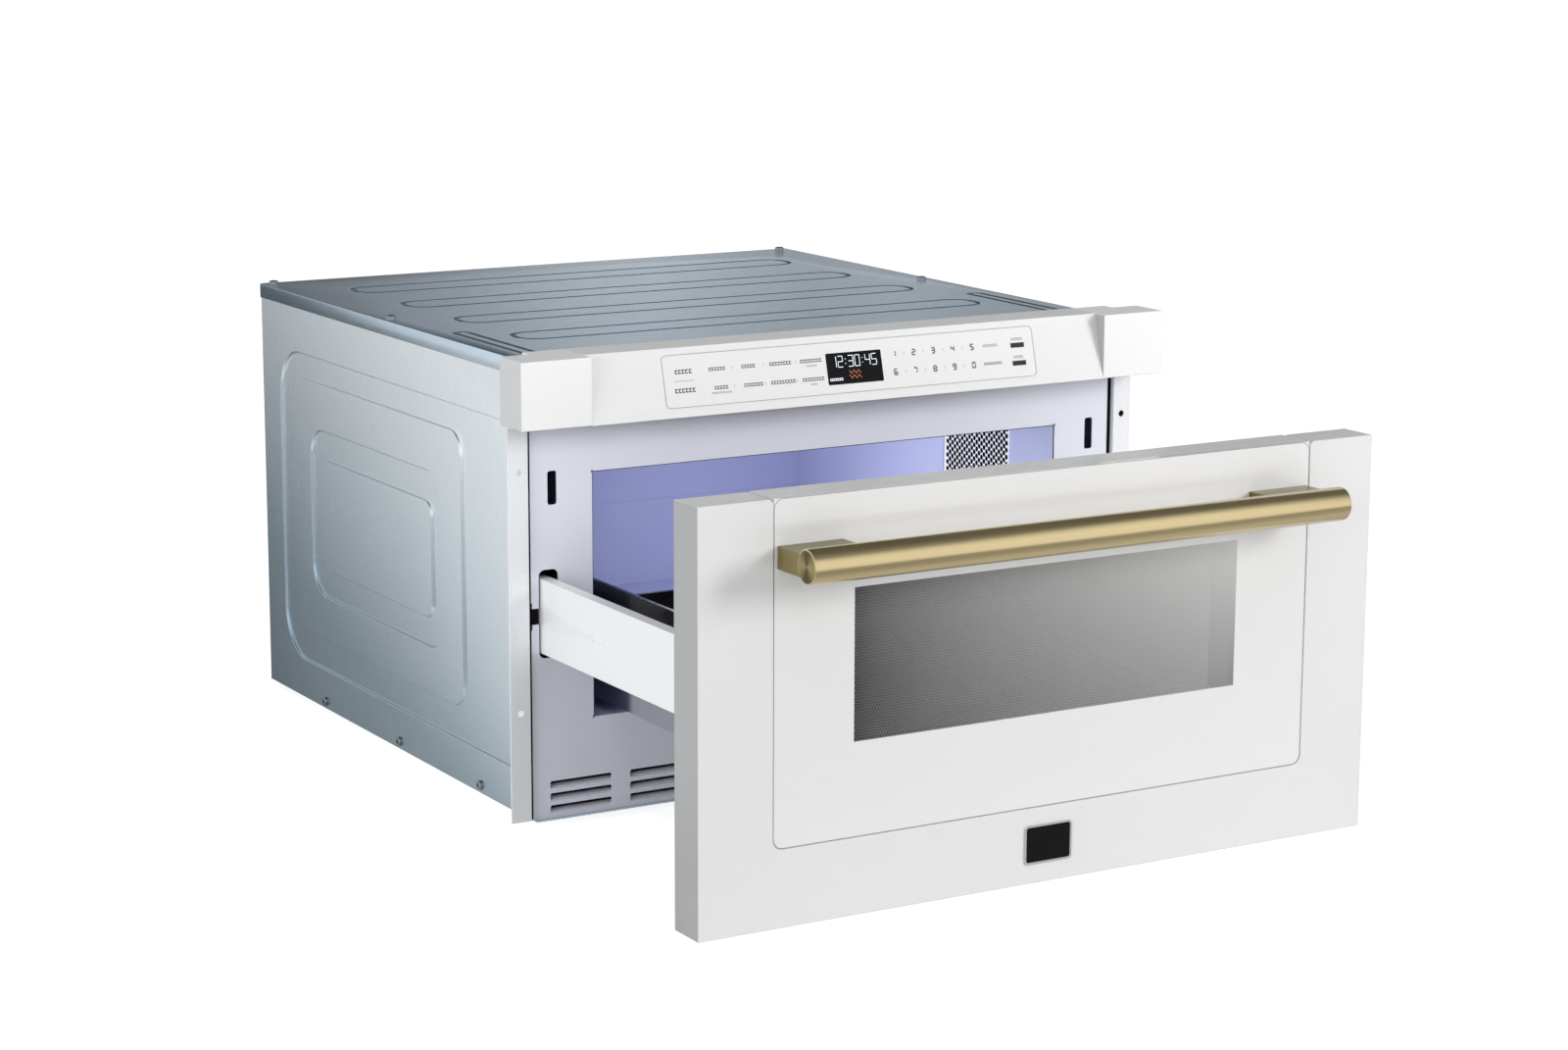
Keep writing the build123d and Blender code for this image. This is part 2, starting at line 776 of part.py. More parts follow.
# ------------------------------------------------------------------ stirrer
stirrer_z = oven_ceiling - stirrer_gap - stirrer_blade
stirrer_shaft_top = guide_top + stirrer_motor_height / 2

with BuildPart() as mode_stirrer:
    with BuildSketch(Plane.XY.offset(stirrer_z)):
        with Locations((0, stirrer_y)):
            Circle(stirrer_radius / 3)
            with PolarLocations(stirrer_radius / 2, 4):
                Rectangle(stirrer_radius, stirrer_radius / 2.5)
            Circle(stirrer_radius, mode=Mode.INTERSECT)
    extrude(amount=stirrer_blade)
    with Locations((0, stirrer_y, (stirrer_z + stirrer_shaft_top) / 2)):
        Cylinder(stirrer_shaft_radius, stirrer_shaft_top - stirrer_z)
save(mode_stirrer.part, "mode_stirrer")

with BuildPart() as stirrer_motor:
    with Locations((0, stirrer_y, guide_top + stirrer_motor_height / 2)):
        Cylinder(stirrer_motor_radius, stirrer_motor_height)
    fillet(stirrer_motor.edges().group_by(Axis.Z)[-1], sheet * 2)
    with BuildSketch(Plane.XY.offset(guide_top)):
        with Locations((0, stirrer_y)):
            SlotOverall(guide_width - 2 * sheet, stirrer_motor_radius / 2)
    extrude(amount=sheet)
    with Locations((0, stirrer_y, guide_top)):
        Cylinder(stirrer_shaft_radius + shaft_play, stirrer_motor_height + 2, mode=Mode.SUBTRACT)
save(stirrer_motor.part, "stirrer_motor")

# ------------------------------------------------------------------ cooling fan
fan_ring_inner = fan_radius + fan_tip_gap
fan_ring_outer = fan_ring_inner + fan_ring_wall
fan_front = back_inner - fan_ring_depth
fan_middle = fan_front + fan_ring_depth / 2
fan_blade_y = (fan_middle - fan_blade_depth / 2, fan_middle + fan_blade_depth / 2)
fan_plane = Plane.XZ.offset(-back_inner)
fan_axis = (fan_x, fan_z)

with BuildPart() as fan_shroud:
    with BuildSketch(fan_plane):
        with Locations(fan_axis):
            RectangleRounded(2 * fan_ring_outer, 2 * fan_ring_outer, fan_ring_wall * 2)
            Circle(fan_ring_inner, mode=Mode.SUBTRACT)
    extrude(amount=fan_ring_wall)
    with BuildSketch(fan_plane):
        with Locations(fan_axis):
            Circle(fan_ring_outer)
            Circle(fan_ring_inner, mode=Mode.SUBTRACT)
    extrude(amount=fan_ring_depth)
    with BuildSketch(Plane.XZ.offset(-fan_front)):
        with Locations(fan_axis):
            Circle(fan_motor_radius + fan_arm / 2)
            with PolarLocations((fan_ring_inner + fan_motor_radius) / 2, 4, start_angle=45):
                Rectangle(fan_ring_outer - fan_motor_radius, fan_arm)
            Circle(fan_shaft_radius * 2, mode=Mode.SUBTRACT)
    extrude(amount=fan_arm / 2)
save(fan_shroud.part, "fan_shroud")

fan_motor_y = fan_front - fan_arm / 2
with BuildPart() as fan_motor:
    with BuildSketch(Plane.XZ.offset(-fan_motor_y)):
        with Locations(fan_axis):
            Circle(fan_motor_radius)
    extrude(amount=fan_motor_length)
    fillet(fan_motor.edges().group_by(Axis.Y)[0], fan_arm / 4)
    with BuildSketch(Plane.XZ.offset(-fan_motor_y)):
        with Locations(fan_axis):
            Circle(fan_shaft_radius + shaft_play)
    extrude(amount=fan_motor_length / 2, mode=Mode.SUBTRACT)
save(fan_motor.part, "fan_motor")

with BuildPart() as fan_impeller:
    with BuildSketch(Plane.XZ.offset(-fan_blade_y[1])):
        with Locations(fan_axis):
            Circle(fan_hub_radius)
    extrude(amount=fan_blade_depth)
    with BuildSketch(Plane.XZ.offset(-fan_blade_y[0])):
        with Locations(fan_axis):
            Circle(fan_shaft_radius)
    extrude(amount=fan_blade_y[0] - fan_motor_y + fan_motor_length / 3)
    blade_span = fan_radius - fan_hub_radius / 2
    blade_chord = (fan_blade_depth - 2 * fan_blade_sheet) / sin(radians(90 - fan_blade_angle))
    for step in range(fan_blades):
        turn = Plane((fan_x, fan_middle, fan_z)).rotated((0, step * 360 / fan_blades, 0))
        blade = turn * Pos(fan_radius - blade_span / 2, 0, 0) * Rot(fan_blade_angle, 0, 0)
        with Locations(blade):
            Box(blade_span, blade_chord, fan_blade_sheet)
    with BuildSketch(Plane.XZ.offset(-back_inner)):
        with Locations(fan_axis):
            Circle(fan_radius)
    extrude(amount=fan_ring_depth + fan_motor_length, mode=Mode.INTERSECT)
save(fan_impeller.part, "fan_impeller")

# ------------------------------------------------------------------ electrics at the back
filter_y = back_inner - filter_standoff
filter_x = (gland_x - filter_width / 2, gland_x + filter_width / 2)
filter_z = (filter_rise - filter_height / 2, filter_rise + filter_height / 2)
with BuildPart() as filter_board:
    box_between(filter_x, (filter_y - board_sheet, filter_y), filter_z)
    post_radius = filter_standoff / 4
    with BuildSketch(Plane.XZ.offset(-back_inner)):
        with Locations((gland_x, filter_rise)):
            with GridLocations(filter_width - 4 * post_radius, filter_height - 4 * post_radius, 2, 2):
                Circle(post_radius)
    extrude(amount=filter_standoff)
    choke_side = filter_height / 3
    box_between(
        (filter_x[0] + post_radius * 3, filter_x[0] + post_radius * 3 + choke_side),
        (filter_y - board_sheet - choke_side, filter_y - board_sheet),
        (filter_rise - choke_side / 2, filter_rise + choke_side / 2),
    )
    box_between(
        (filter_x[1] - post_radius * 3 - choke_side, filter_x[1] - post_radius * 3),
        (filter_y - board_sheet - choke_side / 2, filter_y - board_sheet),
        (filter_rise - choke_side, filter_rise + choke_side),
    )
save(filter_board.part, "filter_board")

with BuildPart() as cord_gland:
    with BuildSketch(Plane.XZ.offset(-(back_inner - gland_collar))):
        with Locations((gland_x, gland_z)):
            Circle(gland_radius - slide_play / 2)
    extrude(amount=-gland_length)
    with BuildSketch(Plane.XZ.offset(-back_outer)):
        with Locations((gland_x, gland_z)):
            Circle(gland_radius + gland_collar)
    extrude(amount=-gland_collar)
    with BuildSketch(Plane.XZ.offset(-back_inner)):
        with Locations((gland_x, gland_z)):
            Circle(gland_radius + gland_collar)
    extrude(amount=gland_collar)
    fillet(cord_gland.edges().group_by(Axis.Y)[-1], gland_collar / 2)
    with BuildSketch(Plane.XZ.offset(-case_depth)):
        with Locations((gland_x, gland_z)):
            Circle(gland_bore)
    extrude(amount=4 * gland_length, both=True, mode=Mode.SUBTRACT)
save(cord_gland.part, "cord_gland")

# ------------------------------------------------------------------ oven lamp
lamp_centre = ((grille_y[0] + grille_y[1]) / 2, grille_z[1] - grille_height / 3)
lamp_y = (lamp_centre[0] - lamp_length / 2, lamp_centre[0] + lamp_length / 2)
lamp_z = (lamp_centre[1] - lamp_height / 2, lamp_centre[1] + lamp_height / 2)
lamp_x = (oven_outer + grille_sheet, fixed_inner - lamp_gap)
with BuildPart() as lamp_housing:
    box_between(lamp_x, lamp_y, lamp_z)
    box_between(
        (lamp_x[0], lamp_x[1] - lamp_wall),
        inset(lamp_y, lamp_wall, lamp_wall),
        inset(lamp_z, lamp_wall, lamp_wall),
        Mode.SUBTRACT,
    )
save(lamp_housing.part, "lamp_housing")

with BuildPart() as oven_lamp:
    bulb_back = lamp_x[1] - lamp_wall - socket_length
    with BuildSketch(Plane.YZ.offset(bulb_back)):
        with Locations(lamp_centre):
            Circle(bulb_radius)
    extrude(amount=-bulb_length)
    fillet(oven_lamp.edges().filter_by(GeomType.CIRCLE), bulb_radius / 2)
    with BuildSketch(Plane.YZ.offset(bulb_back - bulb_radius / 2)):
        with Locations(lamp_centre):
            Circle(socket_radius)
    extrude(amount=socket_length + bulb_radius / 2)
save(oven_lamp.part, "oven_lamp")

# ------------------------------------------------------------------ control panel
def slope_y(z):
    """Front of the leaning middle of the control panel at a height."""
    return -panel_depth + panel_slope * (z - panel_bottom) / panel_height


slope_face = Plane(
    origin=(0, -panel_depth, panel_bottom),
    x_dir=(1, 0, 0),
    z_dir=(0, -panel_height, panel_slope),
)
touch_limits = (
    (-touch_width / 2, touch_width / 2),
    (touch_low, touch_low + touch_height),
)
display_limits = (
    (-display_width / 2, display_width / 2),
    (display_low, display_low + display_height),
)
board_back = touch_sheet + display_depth

with BuildPart() as control_bezel:
    with BuildSketch(Plane.YZ.offset(-block_inner)):
        with BuildLine():
            Polyline(
                (-panel_depth, panel_bottom),
                (slope_y(panel_top), panel_top),
                (panel_tail, panel_top),
                (panel_tail, case_height),
                (plate_front, case_height),
                (plate_front, panel_bottom),
                close=True,
            )
        make_face()
    extrude(amount=2 * block_inner)
    with BuildSketch(Plane.YZ.offset(-block_inner + panel_wall)):
        floor_z = panel_bottom + panel_wall
        roof_z = panel_top - panel_wall
        with BuildLine():
            Polyline(
                (slope_y(floor_z) + slope_lean, floor_z),
                (slope_y(roof_z) + slope_lean, roof_z),
                (plate_front, roof_z),
                (plate_front, floor_z),
                close=True,
            )
        make_face()
    extrude(amount=2 * (block_inner - panel_wall), mode=Mode.SUBTRACT)
    with BuildSketch(slope_face):
        outline_grown(touch_limits, touch_corner, touch_seam)
    extrude(amount=-touch_sheet, mode=Mode.SUBTRACT)
    with BuildSketch(slope_face):
        outline_grown(display_limits, touch_corner / 4, touch_seam)
    extrude(amount=-2 * panel_wall, mode=Mode.SUBTRACT)
    # Posts that carry the control board behind the sloping wall.
    with BuildSketch(slope_face.offset(-panel_wall)):
        with Locations((0, touch_low + touch_height / 2)):
            with GridLocations(board_width - board_height / 2, board_height - 4 * panel_wall, 2, 2):
                Circle(panel_wall)
    extrude(amount=-(board_back - panel_wall))
save(control_bezel.part, "control_bezel")

with BuildPart() as touch_panel:
    with BuildSketch(slope_face):
        outline_grown(touch_limits, touch_corner, 0.0)
    extrude(amount=-touch_sheet)
save(touch_panel.part, "touch_panel")

with BuildPart() as display_module:
    with BuildSketch(slope_face.offset(-touch_sheet)):
        outline_grown(display_limits, touch_corner / 4, 0.0)
    extrude(amount=-display_depth)
save(display_module.part, "display_module")

with BuildPart() as control_board:
    board_middle = touch_low + touch_height / 2
    with BuildSketch(slope_face.offset(-board_back)):
        rectangle_between(
            (-board_width / 2, board_width / 2),
            (board_middle - board_height / 2, board_middle + board_height / 2),
        )
    extrude(amount=-board_sheet)
    with BuildSketch(slope_face.offset(-board_back - board_sheet)):
        with Locations((0, board_middle - board_height / 4)):
            with GridLocations(board_width / 5, 0, 4, 1):
                Rectangle(board_height / 2, board_height / 3)
    extrude(amount=-board_height / 4)
save(control_board.part, "control_board")

for side, sign in sides:
    with BuildPart() as bezel_end:
        box_between(pair(sign, block_inner, front_half), (-panel_depth, 0), (panel_bottom, panel_top))
        box_between(pair(sign, block_inner, plate_half), (0, plate_front), (panel_bottom, case_height))
        box_between(pair(sign, block_inner, lip_outer), (0, panel_tail), (case_height, panel_top))
        inner_wall = (block_inner + panel_wall, plate_half - panel_wall)
        box_between(
            pair(sign, inner_wall[0], front_half - panel_wall),
            (-panel_depth + panel_wall, -panel_wall),
            (panel_bottom + panel_wall, panel_top - panel_wall),
            Mode.SUBTRACT,
        )
        box_between(
            pair(sign, *inner_wall),
            (-panel_depth + panel_wall, plate_front),
            (panel_bottom + panel_wall, case_height - panel_wall),
            Mode.SUBTRACT,
        )
    save(bezel_end.part, f"bezel_end_{side}")

# ------------------------------------------------------------------ slides
def channel(sign, offset, width, height, y, opens_inward=True):
    """A C section along Y. Offset runs inwards from the outer face of the side member."""
    outer = member_outer - offset
    inner = outer - width
    z = (member_middle - height / 2, member_middle + height / 2)
    box_between(pair(sign, inner, outer), y, z)
    hollow = (inner, outer - slide_wall) if opens_inward else (inner + slide_wall, outer)
    box_between(pair(sign, *hollow), y, (z[0] + slide_wall, z[1] - slide_wall), Mode.SUBTRACT)


rivet_rows = (door_back + rivet_front, door_back + rivet_front + rivet_spacing)
fixed_y = (plate_back + fixed_front_gap, plate_back + fixed_front_gap + fixed_length)
middle_start = middle_setback - open_travel / 2
bracket_x = (oven_outer, fixed_inner)
brackets = [plate_back + bracket_front + step * bracket_spacing for step in range(2)]

for side, sign in sides:
    with BuildPart() as drawer_member:
        channel(sign, 0.0, member_width, member_height, (door_back, door_back + member_length))
        for y in rivet_rows:
            with Locations(Location((sign * member_outer, y, member_middle), (0, 90, 0))):
                Cylinder(rivet_radius, slide_wall)
    save(drawer_member.part, f"drawer_member_{side}")

    with BuildPart() as inner_rail:
        channel(sign, slide_wall, inner_width, slide_height, (door_back, door_back + inner_length))
        for y in rivet_rows:
            with Locations(Location((sign * member_outer, y, member_middle), (0, 90, 0))):
                Cylinder(rivet_radius + slide_play, slide_wall + slide_play, mode=Mode.SUBTRACT)
    save(inner_rail.part, f"inner_rail_{side}")

    with BuildPart() as middle_rail:
        channel(
            sign, middle_offset, middle_width, middle_height, (middle_start, middle_start + middle_length)
        )
    save(middle_rail.part, f"middle_rail_{side}")

    with BuildPart() as fixed_rail:
        channel(sign, fixed_offset, fixed_width, fixed_height, fixed_y, opens_inward=False)
        for y in brackets:
            box_between(
                pair(sign, *bracket_x),
                (y, y + bracket_length),
                (member_middle - bracket_depth / 2, member_middle + bracket_depth / 2),
            )
            box_between(
                pair(sign, bracket_x[0] + bracket_sheet, bracket_x[1] - bracket_sheet),
                (y + bracket_sheet, y + bracket_length - bracket_sheet),
                (member_middle - bracket_depth / 2, member_middle + bracket_depth / 2),
                Mode.SUBTRACT,
            )
    save(fixed_rail.part, f"fixed_rail_{side}")

# ------------------------------------------------------------------ drive
tooth_pitch = pi * tooth_module
addendum = tooth_module
dedendum = 1.25 * tooth_module
pinion_radius = tooth_module * pinion_teeth / 2
tooth_thickness = tooth_fill * tooth_pitch
tooth_draft = tan(radians(tooth_angle))
pitch_z = member_low - rack_backing - dedendum
pinion_y = plate_back + pinion_setback
pinion_z = pitch_z - pinion_radius
rack_x = (member_outer - rack_inset - rack_width, member_outer - rack_inset)
rack_back_teeth = ceil((full_travel - open_travel) / tooth_pitch) + pinion_teeth // 4
rack_front_teeth = ceil(open_travel / tooth_pitch) + pinion_teeth // 4

with BuildPart() as drive_rack:
    rack_y = (
        pinion_y - rack_front_teeth * tooth_pitch,
        pinion_y + rack_back_teeth * tooth_pitch,
    )
    with BuildSketch(Plane.YZ.offset(rack_x[0])):
        rectangle_between(rack_y, (pitch_z + dedendum, member_low))
        half_root = tooth_thickness / 2 + dedendum * tooth_draft
        half_tip = tooth_thickness / 2 - addendum * tooth_draft
        teeth = [
            (pinion_y + (step + 0.5) * tooth_pitch, pitch_z)
            for step in range(-rack_front_teeth, rack_back_teeth)
        ]
        with Locations(*teeth):
            Polygon(
                (-half_root, dedendum),
                (-half_tip, -addendum),
                (half_tip, -addendum),
                (half_root, dedendum),
                align=None,
            )
    extrude(amount=rack_width)
save(drive_rack.part, "drive_rack")

with BuildPart() as drive_pinion:
    with BuildSketch(Plane.YZ.offset(rack_x[0])):
        with Locations((pinion_y, pinion_z)):
            Circle(pinion_radius - dedendum)
            flank = [
                (pinion_radius - 1.5 * dedendum, (tooth_thickness + dedendum * tooth_draft) / 2),
                (pinion_radius, tooth_thickness / 2),
                (pinion_radius + addendum, half_tip),
            ]
            with PolarLocations(0, pinion_teeth, start_angle=90):
                Polygon(*flank, *[(x, -y) for x, y in reversed(flank)], align=None)
    extrude(amount=rack_width)
    motor_face = rack_x[0] - motor_gap
    with BuildSketch(Plane.YZ.offset(motor_face - motor_length / 2)):
        with Locations((pinion_y, pinion_z)):
            Circle(pinion_shaft_radius)
    extrude(amount=motor_length / 2 + motor_gap)
save(drive_pinion.part, "drive_pinion")

with BuildPart() as drive_motor:
    with BuildSketch(Plane.YZ.offset(motor_face - motor_length)):
        with Locations((pinion_y, pinion_z)):
            Circle(motor_radius)
    extrude(amount=motor_length)
    with BuildSketch(Plane.YZ.offset(motor_face - motor_length * 2 / 3)):
        with Locations((pinion_y, pinion_z)):
            Circle(pinion_shaft_radius + shaft_play)
    extrude(amount=motor_length, mode=Mode.SUBTRACT)
    box_between(
        (oven_outer, motor_face - motor_length),
        (pinion_y - motor_radius / 2, pinion_y + motor_radius / 2),
        (pinion_z - motor_radius / 2, pinion_z + motor_radius / 2),
    )
    box_between(
        (oven_outer, oven_outer + motor_foot_sheet),
        (pinion_y - motor_foot / 2, pinion_y + motor_foot / 2),
        (pinion_z - motor_foot / 2, pinion_z + motor_radius),
    )
save(drive_motor.part, "drive_motor")

# ------------------------------------------------------------------ drawer front
window_half = window_width / 2
collar_half = window_half + collar_margin
collar_z = (window_bottom - collar_margin, window_top + collar_margin)
mesh_back = glass_back + mesh_sheet
sheet_front = door_back - back_sheet

with BuildPart() as door_frame:
    with BuildSketch(Plane.XZ.offset(-door_back)) as outline:
        rectangle_between((-front_half, front_half), (door_bottom, door_top))
        with BuildSketch(mode=Mode.SUBTRACT) as opening:
            rectangle_between((-glass_half, glass_half), (glass_low, door_top))
            fillet(opening.vertices().group_by(Axis.Y)[0], glass_corner)
        corners = outline.vertices().group_by(Axis.Y)[-1].sort_by(Axis.X)[1:3]
        chamfer(corners, stile_chamfer)
    extrude(amount=door_thickness)
    # Hollow behind the face, with a wall round the glass that stops short of the back sheet.
    with BuildSketch(Plane.XZ.offset(-door_back)) as hollow:
        rectangle_between(
            (-front_half + door_wall, front_half - door_wall),
            (door_bottom + door_wall, door_top - door_wall),
        )
        with BuildSketch(mode=Mode.SUBTRACT) as wall:
            rectangle_between(
                (-glass_half - door_wall, glass_half + door_wall), (glass_low - door_wall, door_top)
            )
            fillet(wall.vertices().group_by(Axis.Y)[0], glass_corner + door_wall)
    extrude(amount=door_thickness - door_wall, mode=Mode.SUBTRACT)
    box_between(
        (-front_half + door_wall, front_half - door_wall),
        (sheet_front, door_back),
        (door_bottom + door_wall, door_top),
        Mode.SUBTRACT,
    )
save(door_frame.part, "door_frame")

with BuildPart() as door_glass:
    with BuildSketch(Plane.XZ.offset(-glass_back)) as pane:
        rectangle_between(
            (-glass_half + glass_gap, glass_half - glass_gap), (glass_low + glass_gap, door_top)
        )
        fillet(pane.vertices().group_by(Axis.Y)[0], glass_corner - glass_gap)
    extrude(amount=glass_sheet)
    chamfer(door_glass.edges().group_by(Axis.Y)[0], glass_gap)
save(door_glass.part, "door_glass")

with BuildPart() as mesh_screen:
    with BuildSketch(Plane.XZ.offset(-mesh_back)):
        rectangle_between(
            (-window_half - mesh_margin, window_half + mesh_margin),
            (window_bottom - mesh_margin, window_top + mesh_margin),
        )
    extrude(amount=mesh_sheet)
save(mesh_screen.part, "mesh_screen")

with BuildPart() as door_inner_panel:
    box_between(
        (-front_half + door_wall, front_half - door_wall),
        (sheet_front, door_back),
        (door_bottom + door_wall, door_top - door_wall),
    )
    box_between(
        (-glass_half + glass_gap, glass_half - glass_gap),
        (glass_back, door_back),
        (door_top - door_wall, door_top),
    )
    with BuildSketch(Plane.XZ.offset(-sheet_front)):
        rectangle_between(
            (-collar_half - collar_wall, collar_half + collar_wall),
            (collar_z[0] - collar_wall, collar_z[1] + collar_wall),
        )
    extrude(amount=sheet_front - mesh_back)
    box_between((-collar_half, collar_half), (mesh_back, door_back), collar_z, Mode.SUBTRACT)
save(door_inner_panel.part, "door_inner_panel")

choke_x = (-tray_half - choke_clearance, tray_half + choke_clearance)
choke_z = (tray_bottom - choke_clearance, oven_ceiling + choke_clearance)
with BuildPart() as door_choke:
    with BuildSketch(Plane.XZ.offset(-door_back)):
        rectangle_between(
            (choke_x[0] - choke_band, choke_x[1] + choke_band),
            (choke_z[0] - choke_band / 2, choke_z[1] + choke_band / 4),
            glass_corner,
        )
        rectangle_between(choke_x, choke_z, glass_corner / 2, Mode.SUBTRACT)
    extrude(amount=-choke_proud)
save(door_choke.part, "door_choke")

with BuildPart() as door_bumpers:
    with BuildSketch(Plane.XZ.offset(-door_back)):
        for sign in (-1, 1):
            with Locations(
                (sign * (lip_outer - bumper_side_inset), door_bottom + bumper_inset),
                (sign * (lip_outer - bumper_side_inset), door_top - bumper_inset / 2),
            ):
                Circle(bumper_radius)
    extrude(amount=-bumper_height)
    fillet(door_bumpers.edges().group_by(Axis.Y)[-1], bumper_radius / 4)
save(door_bumpers.part, "door_bumpers")

with BuildPart() as badge_plate:
    badge_z = (door_bottom + badge_low, door_bottom + badge_low + badge_height)
    with BuildSketch(Plane.XZ.offset(-door_face)):
        rectangle_between((-badge_width / 2, badge_width / 2), badge_z, badge_corner)
    extrude(amount=badge_sheet)
    with BuildSketch(Plane.XZ.offset(-door_face + badge_sheet)):
        outline_grown(((-badge_width / 2, badge_width / 2), badge_z), badge_corner, -badge_rim)
    extrude(amount=-badge_sheet / 3, mode=Mode.SUBTRACT)
save(badge_plate.part, "badge_plate")

# ------------------------------------------------------------------ handle
with BuildPart() as handle_bar:
    with BuildSketch(Plane.YZ.offset(-handle_length / 2)):
        with Locations((handle_y, handle_z)):
            Circle(handle_diameter / 2)
    extrude(amount=handle_length)
    chamfer(handle_bar.edges().filter_by(GeomType.CIRCLE), handle_end_chamfer)
save(handle_bar.part, "handle_bar")

with BuildPart() as handle_brackets:
    bracket_end = handle_length / 2 - bracket_inset
    bracket_middle = handle_z - bracket_inset
    for sign in (-1, 1):
        box_between(
            pair(sign, bracket_end - bracket_width, bracket_end),
            (handle_y, glass_face),
            (bracket_middle - bracket_height / 2, bracket_middle + bracket_height / 2),
        )
    with BuildSketch(Plane.YZ.offset(-handle_length / 2)):
        with Locations((handle_y, handle_z)):
            Circle(handle_diameter / 2 + bracket_seat)
    extrude(amount=handle_length, mode=Mode.SUBTRACT)
save(handle_brackets.part, "handle_brackets")

# ------------------------------------------------------------------ tray
tray_x = (-tray_half, tray_half)
tray_y = (door_back, tray_rear)
inner_x = (tray_x[0] + pan_wall, tray_x[1] - pan_wall)
inner_y = (tray_y[0] + pan_wall, tray_y[1] - pan_wall)
basket_inner_x = (inner_x[0] + basket_wall, inner_x[1] - basket_wall)
basket_inner_y = (inner_y[0] + basket_wall, inner_y[1] - basket_wall)
basket_floor = tray_bottom + pan_wall
ledge_top = basket_floor + ledge_sheet

with BuildPart() as tray_pan:
    box_between(tray_x, tray_y, (tray_bottom, pan_top))
    box_between(inner_x, inner_y, (basket_floor, pan_top), Mode.SUBTRACT)
save(tray_pan.part, "tray_pan")

with BuildPart() as tray_basket:
    box_between(inner_x, inner_y, (basket_floor, pan_top))
    box_between(tray_x, tray_y, (pan_top, basket_top))
    box_between(basket_inner_x, basket_inner_y, (ledge_top, basket_top), Mode.SUBTRACT)
    box_between(
        (basket_inner_x[0] + ledge_width, basket_inner_x[1] - ledge_width),
        (basket_inner_y[0] + ledge_width, basket_inner_y[1] - ledge_width),
        (basket_floor, ledge_top),
        Mode.SUBTRACT,
    )
    box_between(basket_inner_x, (tray_y[0], basket_inner_y[0]), (pan_top, basket_top), Mode.SUBTRACT)
    box_between(
        basket_inner_x,
        (basket_inner_y[1], tray_y[1]),
        (tray_bottom + basket_rear_height, basket_top),
        Mode.SUBTRACT,
    )
save(tray_basket.part, "tray_basket")

with BuildPart() as tray_floor:
    with BuildSketch(Plane.XY.offset(ledge_top)):
        rectangle_between(
            (basket_inner_x[0] + floor_gap, basket_inner_x[1] - floor_gap),
            (basket_inner_y[0] + floor_gap, basket_inner_y[1] - floor_gap),
            floor_corner,
        )
    extrude(amount=floor_sheet)
    chamfer(tray_floor.edges().group_by(Axis.Z)[-1], floor_gap)
save(tray_floor.part, "tray_floor")

with BuildPart() as tray_glides:
    for sign in (-1, 1):
        box_between(
            pair(sign, tray_half - glide_inset - glide_width, tray_half - glide_inset),
            (tray_rear - glide_inset - glide_length, tray_rear - glide_inset),
            (oven_floor + glide_play, tray_bottom),
        )
    fillet(tray_glides.edges().filter_by(Axis.Z), floor_corner)
save(tray_glides.part, "tray_glides")

# ------------------------------------------------------------------ latches and interlocks
with BuildPart() as latch_hooks:
    for sign in (-1, 1):
        with BuildSketch(Plane.YZ.offset(sign * hook_x - hook_thickness / 2)):
            with BuildLine():
                Polyline(
                    (door_back, hook_top),
                    (door_back + hook_reach - hook_barb, hook_top),
                    (door_back + hook_reach, hook_top - hook_barb),
                    (door_back + hook_reach, hook_low),
                    (door_back + hook_reach - 2 * hook_barb, hook_low),
                    (door_back + hook_reach - 2 * hook_barb, hook_low + hook_barb),
                    (door_back, hook_low + hook_barb),
                    close=True,
                )
            make_face()
        extrude(amount=hook_thickness)
save(latch_hooks.part, "latch_hooks")

plunger_top = hook_low - plunger_gap
switch_top = plunger_top - plunger_proud
switch_y = (plate_back + switch_setback, plate_back + switch_setback + switch_length)
plunger_y = switch_y[1] - switch_length / 3

with BuildPart() as interlock_switches:
    for sign in (-1, 1):
        switch_x = (sign * hook_x - switch_width / 2, sign * hook_x + switch_width / 2)
        box_between(switch_x, switch_y, (switch_top - switch_height, switch_top))
        box_between(
            (switch_x[0] - sheet, switch_x[1] + sheet),
            (plate_back, plate_back + sheet),
            (switch_top - switch_height, switch_top - plunger_proud),
        )
        box_between(
            (sign * hook_x - switch_width / 4, sign * hook_x + switch_width / 4),
            (plate_back, switch_y[0] + sheet),
            (switch_top - switch_height + sheet * 2, switch_top - plunger_proud - sheet),
        )
        with Locations((sign * hook_x, plunger_y, switch_top)):
            Cylinder(
                plunger_radius + shaft_play, 2 * (plunger_depth + plunger_proud), mode=Mode.SUBTRACT
            )
save(interlock_switches.part, "interlock_switches")

for side, sign in sides:
    with BuildPart() as interlock_plunger:
        with BuildSketch(Plane.XY.offset(switch_top - plunger_depth)):
            with Locations((sign * hook_x, plunger_y)):
                Circle(plunger_radius)
        extrude(amount=plunger_depth + plunger_proud)
        fillet(interlock_plunger.edges().group_by(Axis.Z)[-1], plunger_radius / 2)
    save(interlock_plunger.part, f"interlock_plunger_{side}")

# ------------------------------------------------------------------ casing screws
with BuildPart() as pan_screw:
    upwards = (Align.CENTER, Align.CENTER, Align.MIN)
    Cylinder(screw_head_radius, screw_head_height, align=upwards)
    fillet(pan_screw.edges().group_by(Axis.Z)[-1], screw_head_height / 2)
    Cylinder(screw_radius, 2 * sheet, align=(Align.CENTER, Align.CENTER, Align.MAX))
    for turn in (0, 90):
        with Locations(Location((0, 0, screw_head_height / 2), (0, 0, turn))):
            Box(2 * screw_radius, screw_radius / 2, screw_head_height, align=upwards, mode=Mode.SUBTRACT)

